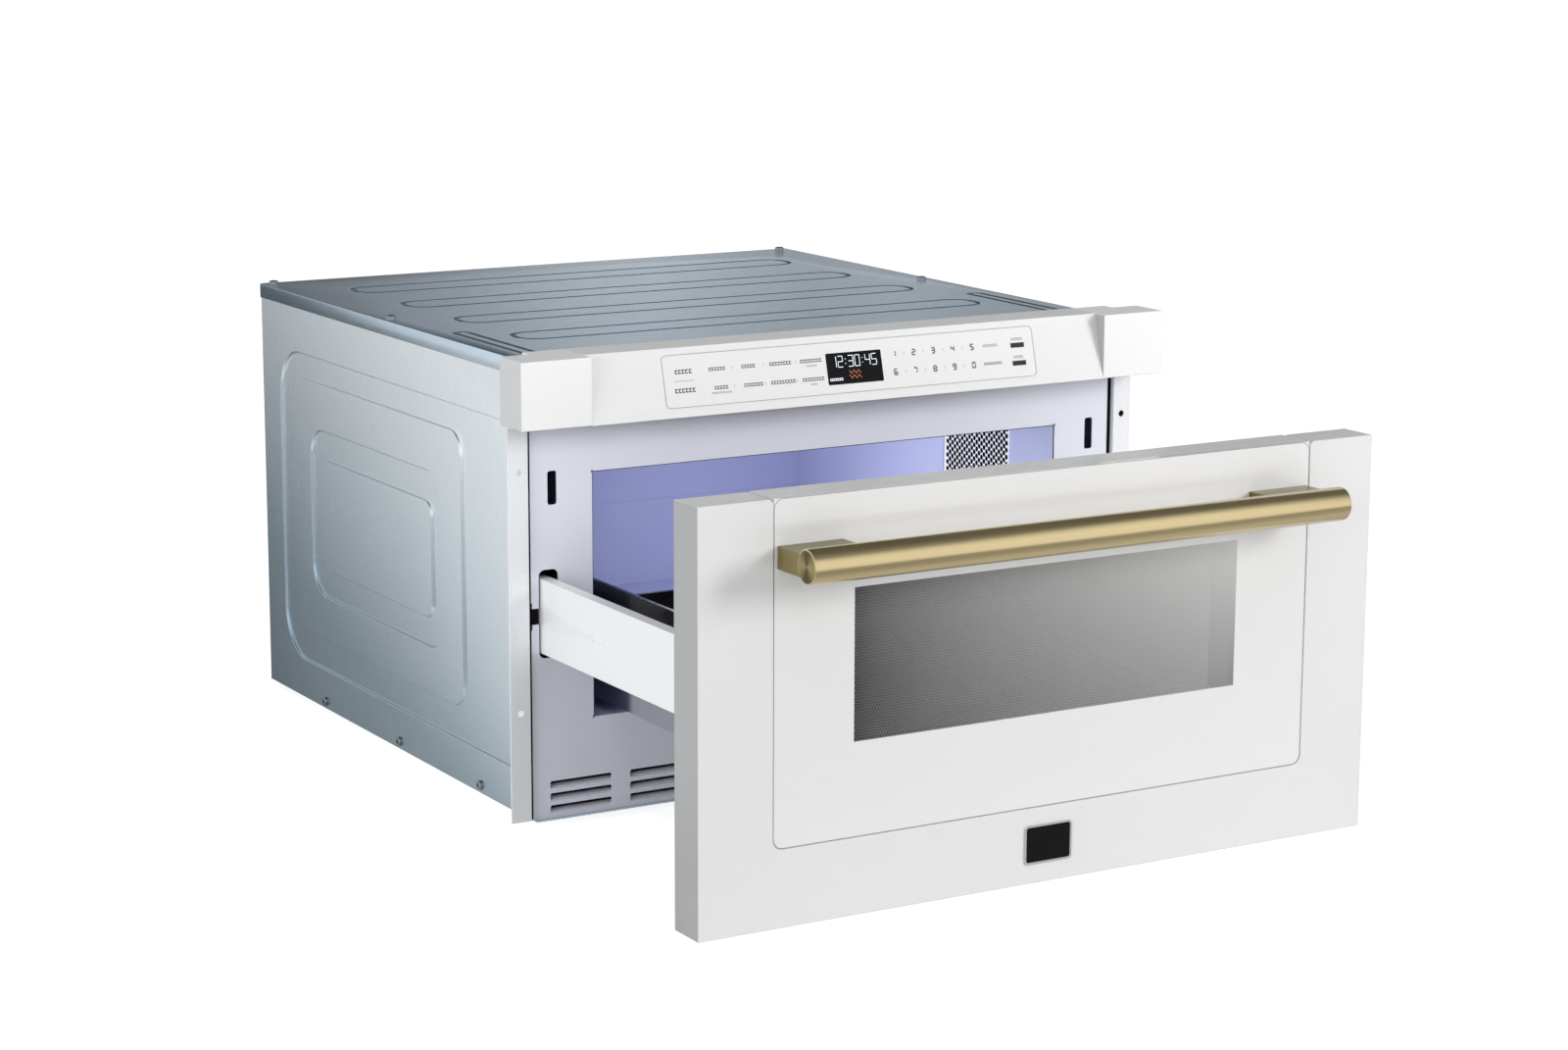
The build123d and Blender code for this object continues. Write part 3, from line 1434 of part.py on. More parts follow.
screw_places = [Location((x, y, case_height)) for x, y in top_screws]
for sign in (-1, 1):
    for y in side_screws:
        screw_places.append(Location((sign * side_outer, y, side_screw_height), (0, sign * 90, 0)))
with BuildPart() as case_screws:
    with Locations(*screw_places):
        add(pan_screw.part)
save(case_screws.part, "case_screws")

# ------------------------------------------------------------------ derived facts worth checking
print(f"drawer travels {open_travel:.1f} mm back and {full_travel - open_travel:.1f} mm forward")
print(f"pinion turns {1000 / pinion_radius:.4f} rad for each metre of drawer travel")
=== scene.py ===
"""A built-in microwave drawer with its drawer standing part open, dressed for a studio picture.

Every size that the solids already hold is read from the frame; the dataclass fields below hold
only what the finish adds, such as a soft slope, a brushed grain or a printed mark. Metres.
"""

import json
import logging
import math
from collections.abc import Iterable, Sequence
from dataclasses import dataclass, field
from enum import Enum

import bmesh
import bpy
from mathutils import Matrix, Vector

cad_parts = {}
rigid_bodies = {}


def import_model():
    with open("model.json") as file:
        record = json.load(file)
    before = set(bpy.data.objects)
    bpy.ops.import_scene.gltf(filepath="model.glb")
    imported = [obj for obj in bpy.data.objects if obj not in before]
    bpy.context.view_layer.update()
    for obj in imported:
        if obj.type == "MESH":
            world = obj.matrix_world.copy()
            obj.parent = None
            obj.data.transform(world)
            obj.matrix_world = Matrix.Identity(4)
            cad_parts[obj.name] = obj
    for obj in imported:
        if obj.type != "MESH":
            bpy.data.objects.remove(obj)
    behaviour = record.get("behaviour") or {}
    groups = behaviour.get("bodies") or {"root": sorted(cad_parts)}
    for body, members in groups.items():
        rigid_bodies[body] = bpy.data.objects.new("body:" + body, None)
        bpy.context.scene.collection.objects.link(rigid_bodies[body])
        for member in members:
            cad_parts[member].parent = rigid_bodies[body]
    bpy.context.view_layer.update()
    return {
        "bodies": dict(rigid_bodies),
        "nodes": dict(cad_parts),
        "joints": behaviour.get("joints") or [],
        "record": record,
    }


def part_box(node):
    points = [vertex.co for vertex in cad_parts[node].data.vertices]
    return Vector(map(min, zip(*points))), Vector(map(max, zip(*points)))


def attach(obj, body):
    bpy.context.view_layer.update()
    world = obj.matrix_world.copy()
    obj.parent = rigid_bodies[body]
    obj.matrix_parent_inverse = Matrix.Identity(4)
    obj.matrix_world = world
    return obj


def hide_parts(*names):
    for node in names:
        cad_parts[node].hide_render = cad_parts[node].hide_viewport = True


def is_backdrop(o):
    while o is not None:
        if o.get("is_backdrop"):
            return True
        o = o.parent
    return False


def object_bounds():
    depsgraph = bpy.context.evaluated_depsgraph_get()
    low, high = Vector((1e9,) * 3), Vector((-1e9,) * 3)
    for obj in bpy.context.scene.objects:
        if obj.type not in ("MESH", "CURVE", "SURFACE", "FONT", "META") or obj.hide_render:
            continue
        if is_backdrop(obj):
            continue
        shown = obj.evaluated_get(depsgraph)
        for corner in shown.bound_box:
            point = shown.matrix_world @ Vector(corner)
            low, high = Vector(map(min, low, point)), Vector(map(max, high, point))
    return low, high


MM = 0.001
QUARTER = math.pi / 2
# The angle between two faces: over it they meet at an edge, under it they are one flat face, and
# over it they meet at a sheet's fold.
SHARP_ANGLE = math.radians(35)
FLAT_ANGLE = math.radians(1)
FOLD_ANGLE = math.radians(60)
# How near counts as the same place: on a piece's outer side, on a flat side and on a cut.
SLACK = MM / 10
FLAT_SLACK = MM / 50
CUT_SLACK = MM / 1000
# How near two points are when they become one.
MERGE = 0.002 * MM
FOLD_MERGE = MM / 100
# The least part along an axis of a direction that counts as along it, and that of a lip's normal.
ALONG = 0.99
LIP_FACING = 0.9
# A flat strip beside each soft wall, the least corner of an outline, and a loop's drop in a bridge.
FLAT_BORDER = 0.5 * MM
LEAST_CORNER = 0.2 * MM
BRIDGE_DROP = 10 * MM

log = logging.getLogger("microwave_drawer")

Colour = tuple[float, float, float]
Span = tuple[float, float]
Levels = tuple[tuple[float, float], ...]
Socket = bpy.types.NodeSocket
Mesh = bmesh.types.BMesh
Edges = list[bmesh.types.BMEdge]


class Axis(Enum):
    """The world's axes, as indices into a vector."""

    X = 0
    Y = 1
    Z = 2


class Side(Enum):
    """The object's two sides, as signs along X."""

    LEFT = -1
    RIGHT = 1

    def named(self, stem: str) -> str:
        """The name of a solid or a piece on this side."""
        return f"{stem}_{self.name.lower()}"

    def across(self, inner: float, outer: float) -> Span:
        """A span along X on this side, from its ends' distances to the middle."""
        low, high = sorted((self.value * inner, self.value * outer))
        return low, high


# The values of a noise between which a roughness goes from one end of its span to the other, in a
# metal or sheet and in a coat or moulding.
NOISE_SPAN: Span = (0.25, 0.75)
CLOUD_SPAN: Span = (0.3, 0.7)
WHITE: Colour = (1.0, 1.0, 1.0)
BLACK: Colour = (0.0, 0.0, 0.0)


# --------------------------------------------------------------------------- node trees
class Nodes:
    """A node tree, grown one node at a time."""

    def __init__(self, tree: bpy.types.NodeTree, output: str) -> None:
        """Empty a tree and give it its output.

        Args:
            tree: The tree.
            output: The output node's type, without the ShaderNode prefix.
        """
        self.tree = tree
        self.tree.nodes.clear()
        self.output = self.tree.nodes.new("ShaderNode" + output)

    def node(self, kind: str, **sockets: object) -> bpy.types.Node:
        """Add a node, with its sockets set or linked.

        Args:
            kind: The node's type, without the ShaderNode prefix.
            **sockets: Socket names, with underscores for spaces, and a value or an output each.

        Returns:
            The node.
        """
        made = self.tree.nodes.new("ShaderNode" + kind)
        for name, value in sockets.items():
            self.feed(made.inputs[name.replace("_", " ")], value)
        return made

    def feed(self, socket: Socket, value: object) -> None:
        """Link an output to a socket, or set the socket to a plain value.

        Args:
            socket: The socket.
            value: The output or the value.
        """
        if isinstance(value, Socket):
            self.tree.links.new(value, socket)
        else:
            socket.default_value = value

    def axes(self, vector: Socket) -> list[Socket]:
        """The outputs X, Y and Z of a vector."""
        apart = self.node("SeparateXYZ", Vector=vector)
        return [apart.outputs[axis.name] for axis in Axis]

    def noise(self, vector: Socket, detail: float = 2.0) -> Socket:
        """A noise of one cell per unit of the vector.

        Args:
            vector: The coordinates.
            detail: Octaves of detail.

        Returns:
            The value output, about 0 to 1.
        """
        return self.node("TexNoise", Vector=vector, Scale=1.0, Detail=detail).outputs["Fac"]

    def span(self, value: Socket, source: Span, target: Span = (0, 1)) -> Socket:
        """A value carried from one span to another, held inside it.

        Args:
            value: The value output.
            source: The span it is taken from.
            target: The span it is given.

        Returns:
            The value output.
        """
        made = self.node("MapRange", Value=value)
        for name, number in zip(("From Min", "From Max", "To Min", "To Max"), (*source, *target)):
            made.inputs[name].default_value = number
        return made.outputs["Result"]

    def blend(self, share: Socket, first: object, second: object) -> Socket:
        """A colour between two others.

        Args:
            share: The share of the second colour.
            first: The first colour, or its output.
            second: The second colour, or its output.

        Returns:
            The colour output.
        """
        made = self.tree.nodes.new("ShaderNodeMix")
        made.data_type = "RGBA"
        self.tree.links.new(share, made.inputs["Factor"])
        for name, colour in (("A", first), ("B", second)):
            # A mix node has a socket of each name for every kind of data; the colour's is the last.
            socket = [s for s in made.inputs if s.name == name and s.type == "RGBA"][0]
            self.feed(socket, colour if isinstance(colour, Socket) else (*colour, 1))
        return [s for s in made.outputs if s.type == "RGBA"][0]

    def sum(self, operation: str, first: Socket, second: object = None) -> Socket:
        """One sum on a value and a number or another value.

        Args:
            operation: The sum's name.
            first: The value.
            second: The number or the other value, where the sum takes one.

        Returns:
            The value output.
        """
        made = self.tree.nodes.new("ShaderNodeMath")
        made.operation = operation
        self.feed(made.inputs[0], first)
        if second is not None:
            self.feed(made.inputs[1], second)
        return made.outputs[0]

    def mixed(self, share: object, first: Socket, second: Socket) -> Socket:
        """A mix of two surfaces.

        Args:
            share: The share of the second, a number or a value.
            first: The first surface.
            second: The second surface.

        Returns:
            The surface output.
        """
        made = self.tree.nodes.new("ShaderNodeMixShader")
        for socket, value in zip(made.inputs, (share, first, second)):
            self.feed(socket, value)
        return made.outputs["Shader"]

    def ramp(self, value: Socket, stops: Sequence[tuple[float, Colour]]) -> Socket:
        """A colour that follows a value through stops.

        Args:
            value: The value, 0 to 1.
            stops: Places and their colours, in order.

        Returns:
            The colour output.
        """
        made = self.node("ValToRGB", Fac=value)
        elements = made.color_ramp.elements
        for element, (place, colour) in zip(elements, (stops[0], stops[-1])):
            element.position, element.color = place, (*colour, 1)
        for place, colour in stops[1:-1]:
            elements.new(place).color = (*colour, 1)
        return made.outputs["Color"]

    def ray(self, *kinds: str) -> Socket:
        """1 for rays of any of some kinds, otherwise 0.

        Args:
            *kinds: The kinds, such as Camera.

        Returns:
            The value output.
        """
        path = self.tree.nodes.new("ShaderNodeLightPath")
        outputs = [path.outputs[f"Is {kind} Ray"] for kind in kinds]
        return outputs[0] if len(outputs) == 1 else self.sum("MAXIMUM", *outputs)

    def close(self, surface: Socket) -> None:
        """Lead a surface to the output."""
        self.tree.links.new(surface, self.output.inputs["Surface"])


class Shader(Nodes):
    """A material and its node tree."""

    def __init__(self, name: str) -> None:
        """Start an empty material.

        Args:
            name: The material's name.
        """
        self.material = bpy.data.materials.new(name)
        self.material.use_nodes = True
        super().__init__(self.material.node_tree, "OutputMaterial")
        self.place = self.tree.nodes.new("ShaderNodeTexCoord").outputs["Object"]

    def cells(self, size: float) -> Socket:
        """The object's own coordinates, in cells of a size."""
        return self.node("Mapping", Vector=self.place, Scale=(1 / size,) * 3).outputs["Vector"]

    def cloud(self, size: float, detail: float = 2.0) -> Socket:
        """A noise whose cells have a size, alike along every axis."""
        return self.noise(self.cells(size), detail)

    def grain(self, width: float, length: float, axis: Axis, detail: float = 2.0) -> Socket:
        """A noise that is drawn out along one axis.

        Args:
            width: The size of its cells across the axis.
            length: Their size along it.
            axis: The axis.
            detail: Octaves of detail.

        Returns:
            The value output.
        """
        scale = [1 / width] * 3
        scale[axis.value] = 1 / length
        return self.noise(self.node("Mapping", Vector=self.place, Scale=scale).outputs["Vector"], detail)

    def tinted(self, share: Socket, colour: Colour, contrast: float) -> Socket:
        """A colour that a value turns darker and lighter by a contrast."""
        return self.blend(share, lighter(colour, -contrast), lighter(colour, contrast))

    def bump(self, height: Socket, depth: float, strength: float) -> Socket:
        """A bump of a depth in metres.

        Args:
            height: The height output.
            depth: How deep a height of one is.
            strength: The share of it that shows.

        Returns:
            The normal output.
        """
        return self.node("Bump", Height=height, Distance=depth, Strength=strength).outputs["Normal"]

    def surface(self, **sockets: object) -> bpy.types.Material:
        """Close the tree with a principled surface.

        Args:
            **sockets: Sockets of the surface.

        Returns:
            The finished material.
        """
        self.close(self.node("BsdfPrincipled", **sockets).outputs["BSDF"])
        return self.material


def lighter(colour: Colour, share: float) -> Colour:
    """A colour scaled by one plus a share, held under one.

    Args:
        colour: The colour.
        share: How much lighter, or darker below zero.

    Returns:
        The scaled colour.
    """
    return tuple(min(channel * (1 + share), 1.0) for channel in colour)


def grey(level: float) -> Colour:
    """A grey of a level."""
    return level, level, level


# --------------------------------------------------------------------------- finishes
@dataclass(frozen=True)
class GalvanisedSteel:
    """Zinc-coated casing sheet: faint crystals, a fine rolling grain and a cool tint.

    With a near colour the sheet gets painted light: its colour is painted lighter up and forwards,
    going from colour to near along z + slant * y, over the span in reach.
    """

    name: str = "galvanised sheet"
    colour: Colour = (0.66, 0.755, 0.82)
    crystal_size: float = 9 * MM
    crystal_contrast: float = 0.03
    crystal_weight: float = 0.5
    mottle: Span = (0.3, 1.1)
    shade: float = 1.6
    grain_length: float = 25 * MM
    grain_width: float = 1.2 * MM
    grain_axis: Axis = Axis.Z
    cloud_size: float = 160 * MM
    roughness: Span = (0.22, 0.28)
    metallic: float = 0.88
    grain_depth: float = 0.004 * MM
    near: Colour | None = None
    slant: float = -0.35
    reach: Span = (-60 * MM, 300 * MM)

    def build(self) -> bpy.types.Material:
        """Make the material."""
        shader = Shader(self.name)
        cells = shader.node("TexVoronoi", Vector=shader.cells(self.crystal_size), Scale=1.0)
        crystal = shader.span(cells.outputs["Color"], (0, 1))
        grain = shader.grain(self.grain_width, self.grain_length, self.grain_axis)
        cloud = shader.cloud(self.cloud_size, detail=1.0)
        mottle = shader.sum("ADD", shader.sum("MULTIPLY", crystal, self.crystal_weight), cloud)
        tint = shader.blend(
            shader.span(mottle, self.mottle),
            lighter(self.colour, -self.crystal_contrast * self.shade),
            lighter(self.colour, self.crystal_contrast),
        )
        # Painted light: the colour goes lighter up and towards the front.
        if self.near is not None:
            _, y, z = shader.axes(shader.place)
            tone = shader.sum("ADD", z, shader.sum("MULTIPLY", y, self.slant))
            tint = shader.blend(shader.span(tone, self.reach), tint, self.near)
        return shader.surface(
            Base_Color=tint,
            Metallic=self.metallic,
            Roughness=shader.span(grain, NOISE_SPAN, self.roughness),
            Normal=shader.bump(grain, self.grain_depth, strength=0.5),
        )


@dataclass(frozen=True)
class Enamel:
    """A smooth fired or painted coat, with the faint orange peel that such coats have."""

    name: str
    colour: Colour
    roughness: Span = (0.26, 0.36)
    peel_size: float = 1.6 * MM
    peel_depth: float = 0.015 * MM
    tone: float = 0.02
    tone_size: float = 120 * MM
    coat: float = 0.15

    def build(self) -> bpy.types.Material:
        """Make the material."""
        shader = Shader(self.name)
        peel = shader.cloud(self.peel_size, detail=1.0)
        cloud = shader.cloud(self.tone_size)
        return shader.surface(
            Base_Color=shader.tinted(cloud, self.colour, self.tone),
            Roughness=shader.span(cloud, CLOUD_SPAN, self.roughness),
            Coat_Weight=self.coat,
            Coat_Roughness=0.08,
            Normal=shader.bump(peel, self.peel_depth, strength=0.35),
        )


@dataclass(frozen=True)
class BrushedMetal:
    """Metal with a brushed grain that runs along one axis."""

    name: str
    colour: Colour
    grain_axis: Axis = Axis.X
    grain_length: float = 45 * MM
    grain_width: float = 0.28 * MM
    contrast: float = 0.10
    roughness: Span = (0.22, 0.34)
    anisotropy: float = 0.55
    metallic: float = 1.0
    grain_depth: float = 0.02 * MM

    def build(self) -> bpy.types.Material:
        """Make the material."""
        shader = Shader(self.name)
        grain = shader.grain(self.grain_width, self.grain_length, self.grain_axis, detail=3.0)
        return shader.surface(
            Base_Color=shader.tinted(grain, self.colour, self.contrast),
            Metallic=self.metallic,
            Roughness=shader.span(grain, NOISE_SPAN, self.roughness),
            Anisotropic=self.anisotropy,
            Normal=shader.bump(grain, self.grain_depth, strength=0.4),
        )


@dataclass(frozen=True)
class SpunMetal:
    """The end of a bar, turned on a lathe: rings about its middle, and opposed bright and dark fans painted
    into its colour as a painted highlight.
    """

    name: str
    colour: Colour
    centre: tuple[float, float]
    ring_pitch: float = 0.35 * MM
    fans: int = 2
    highlight_contrast: float = 0.6
    highlight_lift: float = 0.7
    ring_depth: float = 0.01 * MM
    roughness: Span = (0.24, 0.34)

    def build(self) -> bpy.types.Material:
        """Make the material."""
        shader = Shader(self.name)
        y, z = (
            shader.sum("ADD", place, -middle)
            for place, middle in zip(shader.axes(shader.place)[1:], self.centre)
        )
        # Painted highlight: the colour goes lighter and darker in fans round the middle.
        wave = shader.sum("COSINE", shader.sum("MULTIPLY", shader.sum("ARCTAN2", z, y), float(self.fans)))
        squares = shader.sum("ADD", shader.sum("MULTIPLY", y, y), shader.sum("MULTIPLY", z, z))
        scaled = shader.sum("MULTIPLY", shader.sum("SQRT", squares), 1 / self.ring_pitch)
        rings = shader.noise(shader.node("CombineXYZ", X=scaled).outputs["Vector"], 1.0)
        tint = shader.blend(
            shader.span(wave, (-1, 1)),
            lighter(self.colour, -self.highlight_contrast),
            lighter(self.colour, self.highlight_contrast * self.highlight_lift),
        )
        return shader.surface(
            Base_Color=tint,
            Metallic=1.0,
            Roughness=shader.span(rings, NOISE_SPAN, self.roughness),
            Normal=shader.bump(rings, self.ring_depth, strength=0.5),
        )


@dataclass(frozen=True)
class Moulding:
    """Moulded plastic or rubber, with a fine spark-eroded grain."""

    name: str
    colour: Colour
    roughness: Span = (0.42, 0.55)
    grain_size: float = 0.8 * MM
    grain_depth: float = 0.02 * MM
    cloud_grains: float = 60
    tone: float = 0.08
    coat: float = 0.0
    specular: float = 0.5

    def build(self) -> bpy.types.Material:
        """Make the material."""
        shader = Shader(self.name)
        grain = shader.cloud(self.grain_size)
        cloud = shader.cloud(self.cloud_grains * self.grain_size)
        return shader.surface(
            Base_Color=shader.tinted(cloud, self.colour, self.tone),
            Roughness=shader.span(grain, CLOUD_SPAN, self.roughness),
            Coat_Weight=self.coat,
            Coat_Roughness=0.05,
            Specular_IOR_Level=self.specular,
            Normal=shader.bump(grain, self.grain_depth, strength=0.4),
        )


@dataclass(frozen=True)
class ClearGlass:
    """Clear glass that lets lamps through to what stands behind it."""

    name: str = "clear glass"
    colour: Colour = (0.93, 0.94, 0.94)
    roughness: float = 0.015
    index: float = 1.5

    def build(self) -> bpy.types.Material:
        """Make the material."""
        shader = Shader(self.name)
        shader.close(self.clear(shader))
        return shader.material

    def clear(self, shader: Shader) -> Socket:
        """The clear surface: glass for what is seen, open for the lamps.

        Args:
            shader: The material that gets it.

        Returns:
            The surface output.
        """
        glass = shader.node(
            "BsdfPrincipled",
            Base_Color=(*self.colour, 1),
            Roughness=self.roughness,
            IOR=self.index,
            Transmission_Weight=1.0,
        )
        opening = shader.node("BsdfTransparent", Color=(*self.colour, 1))
        return shader.mixed(shader.ray("Shadow"), glass.outputs["BSDF"], opening.outputs["BSDF"])


@dataclass(frozen=True)
class PaintedReflectionGlass(ClearGlass):
    """A window pane with a painted reflection: a matt grey that grows towards its upper right, where the room
    shines on it.
    """

    name: str = "window pane"
    across: Span = (-173 * MM, 173 * MM)
    upward: Span = (126 * MM, 241 * MM)
    reflection_grey: Colour = grey(0.60)
    most: float = 0.92
    least_share: float = 0.40

    def build(self) -> bpy.types.Material:
        """Make the material."""
        shader = Shader(self.name)
        # Painted reflection: matt grey mixed into the glass, more towards the upper right.
        x, _, z = shader.axes(shader.place)
        right = shader.span(x, self.across, (0, self.most))
        up = shader.span(z, self.upward, (self.least_share, 1))
        share = shader.sum("MULTIPLY", right, up)
        reflection_grey = shader.node("BsdfDiffuse", Color=(*self.reflection_grey, 1)).outputs["BSDF"]
        shader.close(shader.mixed(share, self.clear(shader), reflection_grey))
        return shader.material


@dataclass(frozen=True)
class Glow:
    """A lit mark of the display."""

    name: str
    colour: Colour
    strength: float = 1.0

    def build(self) -> bpy.types.Material:
        """Make the material."""
        return Shader(self.name).surface(
            Base_Color=(*self.colour, 1),
            Roughness=0.4,
            Emission_Color=(*self.colour, 1),
            Emission_Strength=self.strength,
        )


@dataclass
class Finishes:
    """Every finish of the oven, each made once when it is first asked for."""

    made: dict[str, bpy.types.Material] = field(default_factory=dict)

    def of(self, finish: object) -> bpy.types.Material:
        """The material of a finish.

        Args:
            finish: One of the finish classes.

        Returns:
            The material, made once.
        """
        if finish.name not in self.made:
            self.made[finish.name] = finish.build()
        return self.made[finish.name]


SATIN: Span = (0.34, 0.42)
EGGSHELL: Span = (0.30, 0.38)
DULL: Span = (0.5, 0.55)

# The side panels' sheet, with painted light and shade: darker low and behind, lighter up and towards the
# front.
CASING_SHEET = GalvanisedSteel(colour=(0.36, 0.46, 0.53), near=(0.90, 0.96, 1.0))
INNER_SHEET = GalvanisedSteel(name="galvanised inner sheet")
TOP_SHEET = GalvanisedSteel(
    name="galvanised top sheet", grain_axis=Axis.X, colour=(0.535, 0.735, 0.93), roughness=(0.15, 0.20)
)
# The top cover's side lips: a darker copy of the sheet, painted shade, and painted lighter towards the front.
LIP_SHEET_PAINTED_SHADE = GalvanisedSteel(
    name="galvanised lip",
    grain_axis=Axis.Y,
    colour=(0.28, 0.37, 0.45),
    near=(0.56, 0.66, 0.74),
    slant=-1.0,
    reach=(-190 * MM, 360 * MM),
)

FRONT_ENAMEL = Enamel("front enamel", (0.87, 0.885, 0.985), tone=0.008)
# A lighter copy of the front enamel for the flanges: painted light.
FLANGE_ENAMEL = Enamel("flange enamel", (0.95, 0.965, 0.99), tone=0.008)
OVEN_ENAMEL = Enamel("oven enamel", (0.53, 0.56, 0.80), roughness=(0.3, 0.42))
GRILLE_ENAMEL = Enamel("grille enamel", (0.92, 0.92, 0.96))
WHITE_PAINT = Enamel("white paint", grey(0.75), EGGSHELL, tone=0.006, coat=0.1)
# The side members' white, made lighter than the frame's: painted light on their sides.
SIDE_PAINT_PAINTED_LIGHT = Enamel("side member paint", (0.97, 0.975, 0.985), EGGSHELL, tone=0.01, coat=0.2)
# Painted shade: a dark grey copy of the white paint for the door frame's left and right sides.
FRAME_SIDE_SHADE = Enamel("frame edge paint", grey(0.435), SATIN, tone=0.006, coat=0.1)
BLOCK_PAINT = Enamel("end block paint", grey(0.965), SATIN, tone=0.006, coat=0.0)
# Painted shade: darker copies of the block paint for the end blocks' sides, those of the right block darkest.
BLOCK_SIDE_SHADE = Enamel("end block side", grey(0.68), SATIN, tone=0.006, coat=0.0)
BLOCK_SHADE_PAINT = Enamel("end block inner side", grey(0.50), SATIN, tone=0.006, coat=0.0)
BEZEL_PAINT = Enamel("bezel paint", grey(0.85), SATIN, tone=0.004, coat=0.0)
PANEL_FILM = Enamel("panel film", grey(0.855), (0.30, 0.36), peel_depth=0.004 * MM, tone=0.004, coat=0.0)
GLASS_PAINT = Enamel("back-painted glass", grey(0.785), (0.05, 0.08), peel_depth=0.0, tone=0.004, coat=0.6)

BRUSHED_BRASS = BrushedMetal(
    "brushed brass",
    (0.66, 0.54, 0.30),
    contrast=0.035,
    roughness=(0.17, 0.24),
    anisotropy=0.3,
    metallic=0.87,
    grain_depth=0.004 * MM,
)
# Darker copies of the brass for the handle brackets, painted shade: the shaded one on most faces, the flat
# one on their sides.
SHADED_BRASS = BrushedMetal("brushed brass upper", (0.25, 0.205, 0.09), contrast=0.05)
FLAT_BRASS = BrushedMetal(
    "brushed brass flat", (0.41, 0.335, 0.155), Axis.Z, contrast=0.05, roughness=(0.28, 0.36)
)
STAINLESS = BrushedMetal("bright steel", (0.60, 0.61, 0.64), Axis.Y, contrast=0.04, roughness=(0.10, 0.18))
ZINC = BrushedMetal("zinc plate", (0.62, 0.63, 0.65), Axis.Y, roughness=(0.28, 0.4))
SCREW_ZINC = BrushedMetal("screw zinc", (0.28, 0.31, 0.33), Axis.Z, contrast=0.03, roughness=(0.08, 0.14))
ALUMINIUM = BrushedMetal("aluminium", (0.76, 0.77, 0.79), roughness=(0.25, 0.38))
LAMINATION = BrushedMetal("laminations", (0.20, 0.19, 0.18), metallic=0.6, roughness=(0.45, 0.6))
COPPER = BrushedMetal("enamelled copper", (0.62, 0.28, 0.13), grain_width=0.9 * MM, contrast=0.25)
BADGE_RIM = BrushedMetal("badge rim", grey(0.72), roughness=(0.15, 0.22))

PRINT = Moulding("printed grey", (0.035, 0.035, 0.038), DULL, specular=0.2)
FAINT_PRINT = Moulding("printed pale grey", (0.27, 0.27, 0.28), DULL, specular=0.2)
SCREEN = Moulding("screen steel", grey(0.44), (0.4, 0.5), grain_depth=0.0)
BLACK_PLASTIC = Moulding("black plastic", (0.012, 0.012, 0.014))
BASKET_PLASTIC = Moulding("basket plastic", (0.008, 0.008, 0.010), (0.22, 0.32), coat=0.3)
GREY_PLASTIC = Moulding("grey plastic", (0.30, 0.31, 0.32))
WHITE_PLASTIC = Moulding("white plastic", (0.80, 0.80, 0.79))
RUBBER = Moulding("rubber", (0.11, 0.11, 0.115), (0.6, 0.75))
BOARD = Moulding("circuit board", (0.03, 0.17, 0.08), (0.3, 0.4), coat=0.3)
CERAMIC = Moulding("ceramic glass", (0.010, 0.010, 0.012), (0.05, 0.1), grain_depth=0.0, coat=0.6)
DISPLAY_BLACK = Moulding("display glass", (0.003, 0.003, 0.004), (0.2, 0.26), grain_depth=0.0, specular=0.12)
BADGE_BLACK = Moulding("badge enamel", (0.003, 0.003, 0.004), (0.4, 0.45), grain_depth=0.0, specular=0.15)
# Painted shade behind the door's screen.
SCREEN_SHADE_SHEET = Moulding("dark inner film", (0.014, 0.014, 0.015), (0.3, 0.4), grain_depth=0.0)
SEAM = Moulding("seam shadow", grey(0.30), (0.6, 0.7), grain_depth=0.0)
# Near-black for dark seals and for painted shade in seams, slots and holes.
SEAL_AND_SHADE = Moulding("gap seal", (0.004, 0.004, 0.005), (0.7, 0.8), grain_depth=0.0, specular=0.1)

CLEAR_GLASS = ClearGlass()
WINDOW_GLASS = PaintedReflectionGlass()
LIT_WHITE = Glow("lit segments", (0.66, 0.70, 0.72))
LIT_RED = Glow("lit waves", (0.42, 0.12, 0.05))


